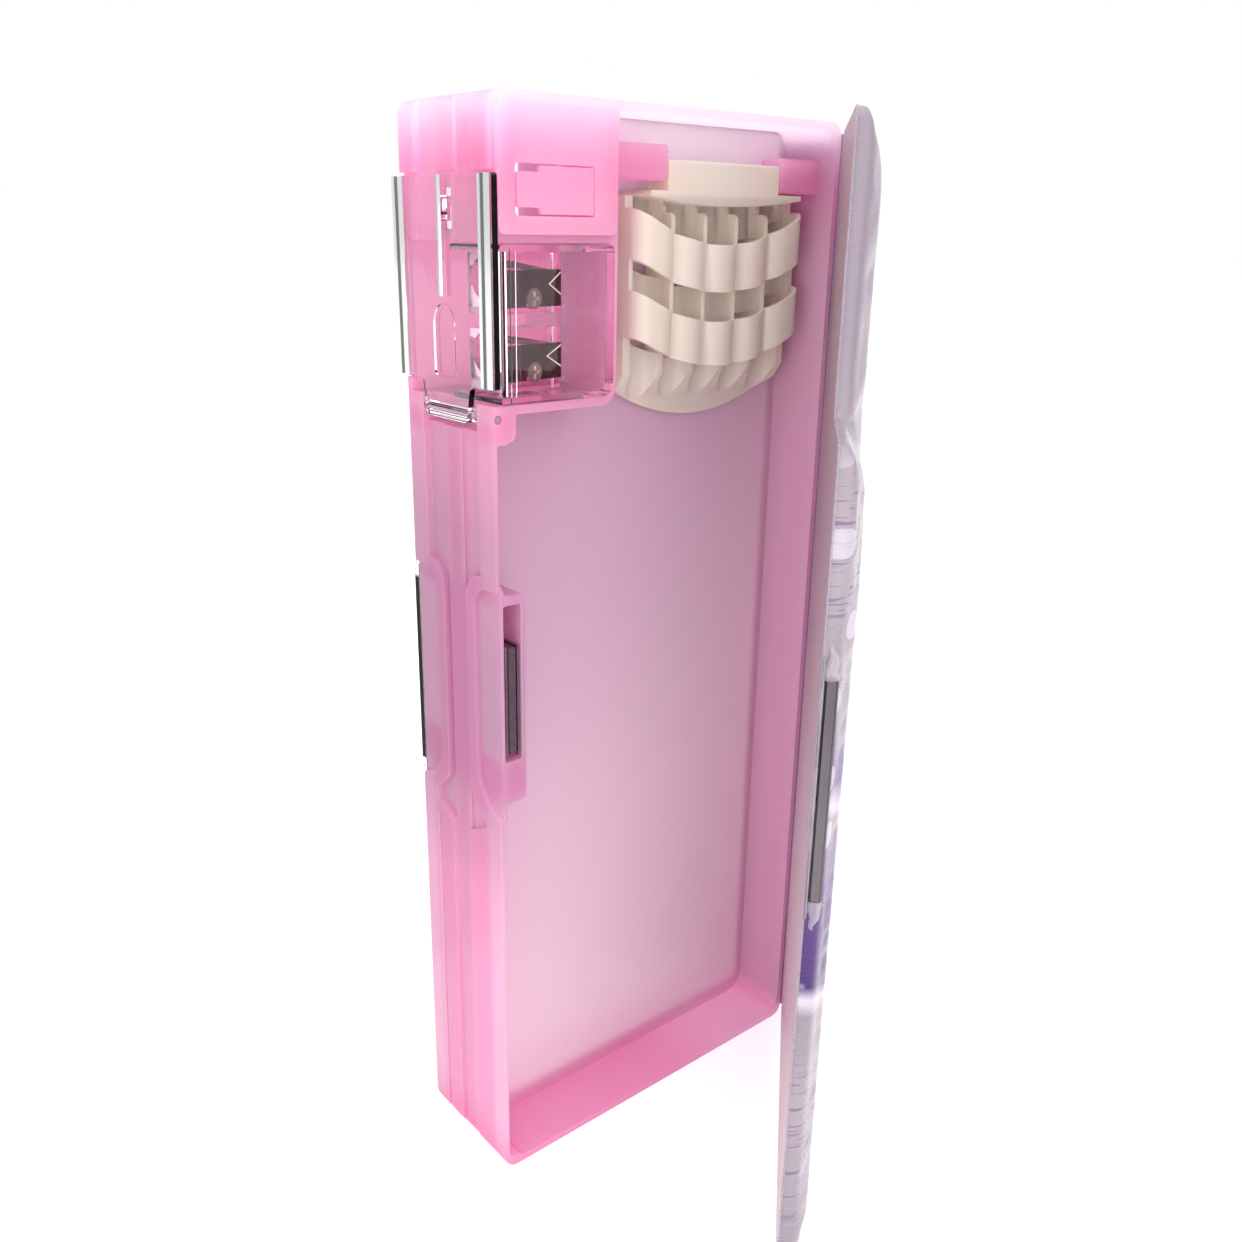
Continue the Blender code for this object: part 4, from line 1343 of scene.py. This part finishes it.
@dataclass
class Lid:
    """A lid: its lining board, padded cover, sealed edge, striker and the striker's sleeve.

    The sealed edge is a bead of (half width, half height) along the lid's outline at seam_y. A sleeve's
    tab runs from near its striker's end to its tip.
    """

    side: Side
    seam_y: float = -0.64
    seam_out: float = 0.1
    seam_step: float = 1.6
    bead: Point = (0.26, 0.22)
    bead_points: int = 8
    flap: tuple[Place, ...] = ((1.3, 89.6, 1.0), (3.3, 87.2, 0.8), (3.3, 141.0, 0.8), (1.3, 138.6, 1.0))
    flap_y: Point = (-1.05, -0.75)
    tabs: tuple[Point, ...] = ((92.6, 86.0), (135.6, 142.2))
    tab_rings: int = 9
    tab_points: int = 12
    tab_middle: Point = (2.15, -2.35)
    tab_half: Point = (0.85, 1.45)

    @property
    def cover(self) -> LidCover:
        """The lid's cover, which holds its outline."""
        return LidCover(self.side)

    def build(self) -> None:
        """Build and dress the lid."""
        self.cover.build()
        Shape.refined(f"{self.side.value}_lid_board", Finishes.lining, 0.0, "lining_board")
        Shape.refined(f"{self.side.value}_striker", Finishes.steel, 0.3, "dark_steel")
        self.welt()
        self.sleeve()

    def welt(self) -> None:
        """Seal the edge where the cover meets the lining, with a flattened bead and its ribs."""
        line = np.array(Shape.spaced(self.cover.outline(-self.seam_out), self.seam_step))
        wide, tall = self.bead
        strands = [
            Shape.stood(self.cover.ring(line, -wide * math.cos(turn)), self.seam_y + tall * math.sin(turn))
            for turn in np.linspace(0, 2 * math.pi, self.bead_points, endpoint=False)
        ]
        points, faces = Shape.swept(np.stack(strands, axis=1), closed=True)
        obj = Shape.piece(f"{self.side.lid}_welt", CASE.on_lid(points, self.side), faces, Finishes.film)
        middle = CASE.on_lid(Shape.stood(line, self.seam_y), self.side)
        facing = np.diff(CASE.on_lid(np.array([(0.0, 0.0, 0.0), (0.0, -1.0, 0.0)]), self.side), axis=0)[0]
        ribs = WeldRibs().build(f"{self.side.lid}_weld_ribs", middle, facing, Finishes.film)
        for part in (obj, ribs):
            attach(part, self.side.lid)
        LOG.info("piece %s", obj.name)

    def tab(self, near: float, far: float) -> tuple[np.ndarray, Faces]:
        """Pinched, creased and slightly twisted tab of clear vinyl.

        Args:
            near: Height of its open end, over the striker.
            far: Height of its tip.

        Returns:
            Vertices and faces.
        """
        turn, share = np.meshgrid(
            np.linspace(0, 2 * math.pi, self.tab_points, endpoint=False), np.linspace(0, 1, self.tab_rings))
        creased = 1 + 0.18 * np.sin(3 * turn + 7 * share)
        wide = (1 - 0.8 * share ** 1.4) * creased
        twist = 0.5 * np.sin(share * 9.0)
        x = self.tab_middle[0] + 0.75 * share + self.tab_half[0] * wide * np.cos(turn)
        y = self.tab_middle[1] + twist * share + self.tab_half[1] * wide * np.sin(turn)
        return Shape.swept(np.stack([x, y, near + (far - near) * share], axis=-1), closed=False)

    def sleeve(self) -> None:
        """Hold the striker in clear vinyl: a flap behind it and a tab at each end."""
        flap = np.array(Shape.rounded(self.flap, 5))
        points, faces = Shape.swept(np.stack([Shape.stood(flap, y) for y in self.flap_y]), closed=False)
        for near, far in self.tabs:
            tab, skin = self.tab(near, far)
            faces += [tuple(len(points) + i for i in face) for face in skin]
            points = np.vstack([points, tab])
        obj = Shape.piece(f"{self.side.lid}_sleeve", CASE.on_lid(points, self.side), faces, Finishes.film)
        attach(obj, self.side.lid)
        LOG.info("piece %s", obj.name)


@dataclass
class Spine:
    """Vinyl strip on the hinge side, with a soft strip that bends over each lid's hinge.

    The path runs from the spine round the closed front lid's hinge. The strip starts to follow the
    lid at one of its points and follows it wholly from another.
    """

    low: float = 2.5
    high: float = 227.8
    rows: int = 60
    columns: int = 28
    film: float = 0.35
    follows: tuple[int, int] = (3, 9)
    blend_columns: tuple[int, int] = (9, 15)
    path: tuple[Point, ...] = (
        (94.05, 8.0), (94.08, 4.0), (94.1, 1.0), (94.15, -0.6), (94.15, -1.7), (93.85, -2.7), (93.2, -3.3),
        (92.4, -3.45), (91.7, -3.3), (91.0, -3.2), (90.4, -3.55), (89.6, -4.3),
    )

    def build(self) -> None:
        """Dress the spine and lay both hinge strips."""
        Shape.refined("spine_cover", Finishes.spine, 0.0, "spine_vinyl")
        for side in Side:
            self.strip(side)

    def strip(self, side: Side) -> Object:
        """Soft strip from the spine round the hinge to a lid's outer face.

        Args:
            side: The lid it goes to.

        Returns:
            The strip, which bends between the case and the lid.
        """
        path = np.array(self.path)
        legs = np.r_[0, np.cumsum(np.hypot(*np.diff(path, axis=0).T))]
        fine = np.linspace(0, legs[-1], self.columns)
        line = np.column_stack([np.interp(fine, legs, path[:, k]) for k in (0, 1)])
        first, last = (legs[k] for k in self.follows)
        share = np.clip((fine - first) / (last - first), 0, 1)
        share = share * share * (3 - 2 * share)
        count, wide = self.rows + 1, self.columns
        closed = np.array([(x, y, z) for z in np.linspace(self.low, self.high, count) for x, y in line])
        bends = np.tile(CASE.front_open * share, count)
        skin = CASE.mirrored(closed) if side is Side.BACK else CASE.swung(closed, bends)
        faces = [
            (i * wide + j, i * wide + j + 1, (i + 1) * wide + j + 1, (i + 1) * wide + j)
            for i in range(count - 1) for j in range(wide - 1)
        ]
        obj = Shape.piece(f"{side.lid}_hinge_strip", skin, faces, Finishes.spine)
        thick = obj.modifiers.new("film", "SOLIDIFY")
        thick.thickness = self.film * MM
        thick.offset = 0.0
        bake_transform(obj)
        LOG.info("piece %s: %.1f mm wide", obj.name, legs[-1])
        return obj


@dataclass(frozen=True)
class FloorPaper(Finish):
    """White paper floor that shows as white to the camera and keeps the shadow."""

    name: str = "floor_paper"
    paper: Colour = srgb(246, 243, 244)
    lift: float = 0.5
    glow_through: float = 0.6

    def dress(self, graph: Graph, shader: Node) -> None:
        """Matt paper, lifted for what the camera, metal and glass see.

        Args:
            graph: The material's nodes.
            shader: Its Principled shader.
        """
        path = graph.node("ShaderNodeLightPath").outputs
        seen = graph.maths("ADD", path["Is Camera Ray"], path["Is Glossy Ray"], True)
        through = graph.times(path["Is Transmission Ray"], self.glow_through)
        lift = graph.maths("ADD", graph.times(seen, self.lift), through)
        graph.fill(shader, Base_Color=self.paper, Roughness=0.8, Emission_Color=WHITE, Emission_Strength=lift)


@dataclass(frozen=True)
class GreyCard(Finish):
    """Grey card beside the stage, for metal and gloss to reflect."""

    name: str = "grey_card"
    shade: Colour = srgb(138, 140, 134)

    def dress(self, graph: Graph, shader: Node) -> None:
        """Plain grey, the same wherever it stands."""
        graph.fill(shader, Base_Color=BLACK, Specular_IOR_Level=0.0)
        graph.fill(shader, Emission_Color=self.shade, Emission_Strength=1.0)


@dataclass
class Studio:
    """Camera, white surroundings, floor and soft lamps, in metres.

    Each lamp is (name, place, aim, size, watts), and each card is (name, place, aim, size).
    """

    place: Place = (-0.16605, -0.19575, 0.2077)
    azimuth: float = 40.04
    elevation: float = -18.67
    roll: float = 0.97
    lens: float = 33.74
    around: float = 0.94
    floor_half: float = 6.0
    lamps: tuple[tuple[str, Place, Place, float, float], ...] = (
        ("key_box", (-0.15, -0.45, 0.75), (0.0, 0.0, 0.12), 0.7, 1.1),
        ("top_box", (0.0, -0.02, 0.48), (0.0, 0.0, 0.2), 0.3, 0.4),
        ("front_box", (-0.14, -0.55, 0.17), (0.0, 0.0, 0.1), 0.5, 1.0),
        ("left_box", (-0.50, -0.20, 0.06), (0.0, 0.0, 0.03), 0.3, 0.45),
    )
    cards: tuple[tuple[str, Place, Place, Point], ...] = (
        ("left_card", (-0.42, 0.52, 0.2), (-0.05, 0.0, 0.2), (0.26, 0.9)),
        ("back_floor_card", (-0.24, 0.29, 0.004), (-0.24, 0.29, 1.0), (0.34, 0.46)),
        ("right_card", (0.21, -0.30, 0.20), (-0.03, 0.0, 0.20), (0.3, 0.2)),
    )

    def build(self) -> None:
        """Set the whole stage up."""
        self.camera()
        self.world()
        self.sheet("floor", FloorPaper(), (2 * self.floor_half, 2 * self.floor_half), Matrix())
        for name, place, aim, size, power in self.lamps:
            data = bpy.data.lights.new(name, "AREA")
            data.size = size
            data.energy = power
            Shape.place(name, data).matrix_world = self.facing(place, aim)
        for name, place, aim, size in self.cards:
            card = self.sheet(name, GreyCard(), size, self.facing(place, aim))
            for rays in ("camera", "diffuse", "shadow", "transmission"):
                setattr(card, f"visible_{rays}", False)
        bpy.context.scene.view_settings.view_transform = "Standard"

    @staticmethod
    def facing(place: Place, aim: Place) -> Matrix:
        """Matrix of something at a place that faces a point."""
        turn = (Vector(aim) - Vector(place)).to_track_quat("-Z", "Y")
        return Matrix.Translation(place) @ turn.to_matrix().to_4x4()

    @staticmethod
    def sheet(name: str, finish: Finish, size: Point, matrix: Matrix) -> Object:
        """Lay a flat sheet of the stage.

        Args:
            name: The sheet's name.
            finish: Its finish.
            size: Its width and height.
            matrix: Where it lies.

        Returns:
            The sheet, which is no part of the case.
        """
        wide, tall = size[0] / 2, size[1] / 2
        mesh = bpy.data.meshes.new(name)
        corners = [(-wide, -tall, 0), (wide, -tall, 0), (wide, tall, 0), (-wide, tall, 0)]
        mesh.from_pydata(corners, [], [(0, 1, 2, 3)])
        mesh.materials.append(finish.material())
        mesh.transform(matrix)
        obj = Shape.place(name, mesh)
        return obj

    def camera(self) -> None:
        """Stand the camera where the photograph was taken from."""
        data = bpy.data.cameras.new("camera")
        data.lens = self.lens
        data.sensor_width = 36.0
        data.clip_start = 0.01
        camera = Shape.place("camera", data)
        matrix = Matrix.Translation(self.place)
        for angle, axis in ((-self.azimuth, "Z"), (90 + self.elevation, "X"), (self.roll, "Z")):
            matrix = matrix @ Matrix.Rotation(math.radians(angle), 4, axis)
        camera.matrix_world = matrix
        bpy.context.scene.camera = camera

    def world(self) -> None:
        """White surroundings for camera, metal and glass, and a softer light for the rest."""
        world = bpy.data.worlds.new("studio")
        bpy.context.scene.world = world
        world.use_nodes = True
        graph = Graph(world.node_tree)
        path = graph.node("ShaderNodeLightPath").outputs
        seen = graph.maths("ADD", path["Is Camera Ray"], path["Is Glossy Ray"], True)
        seen = graph.maths("ADD", seen, path["Is Transmission Ray"], True)
        strength = graph.span(seen, 0.0, 1.0, (self.around, 1.0))
        graph.fill(world.node_tree.nodes["Background"], Color=WHITE, Strength=strength)


def main() -> None:
    """Build the stage and every sub-assembly in order."""
    logging.basicConfig(level=logging.INFO, format="%(name)s: %(message)s")
    Studio().build()
    CaseBody().build()
    SharpenerCorner().build()
    PencilRack().build()
    for side in Side:
        Lid(side).build()
    Spine().build()


if __name__ == "__main__":
    main()
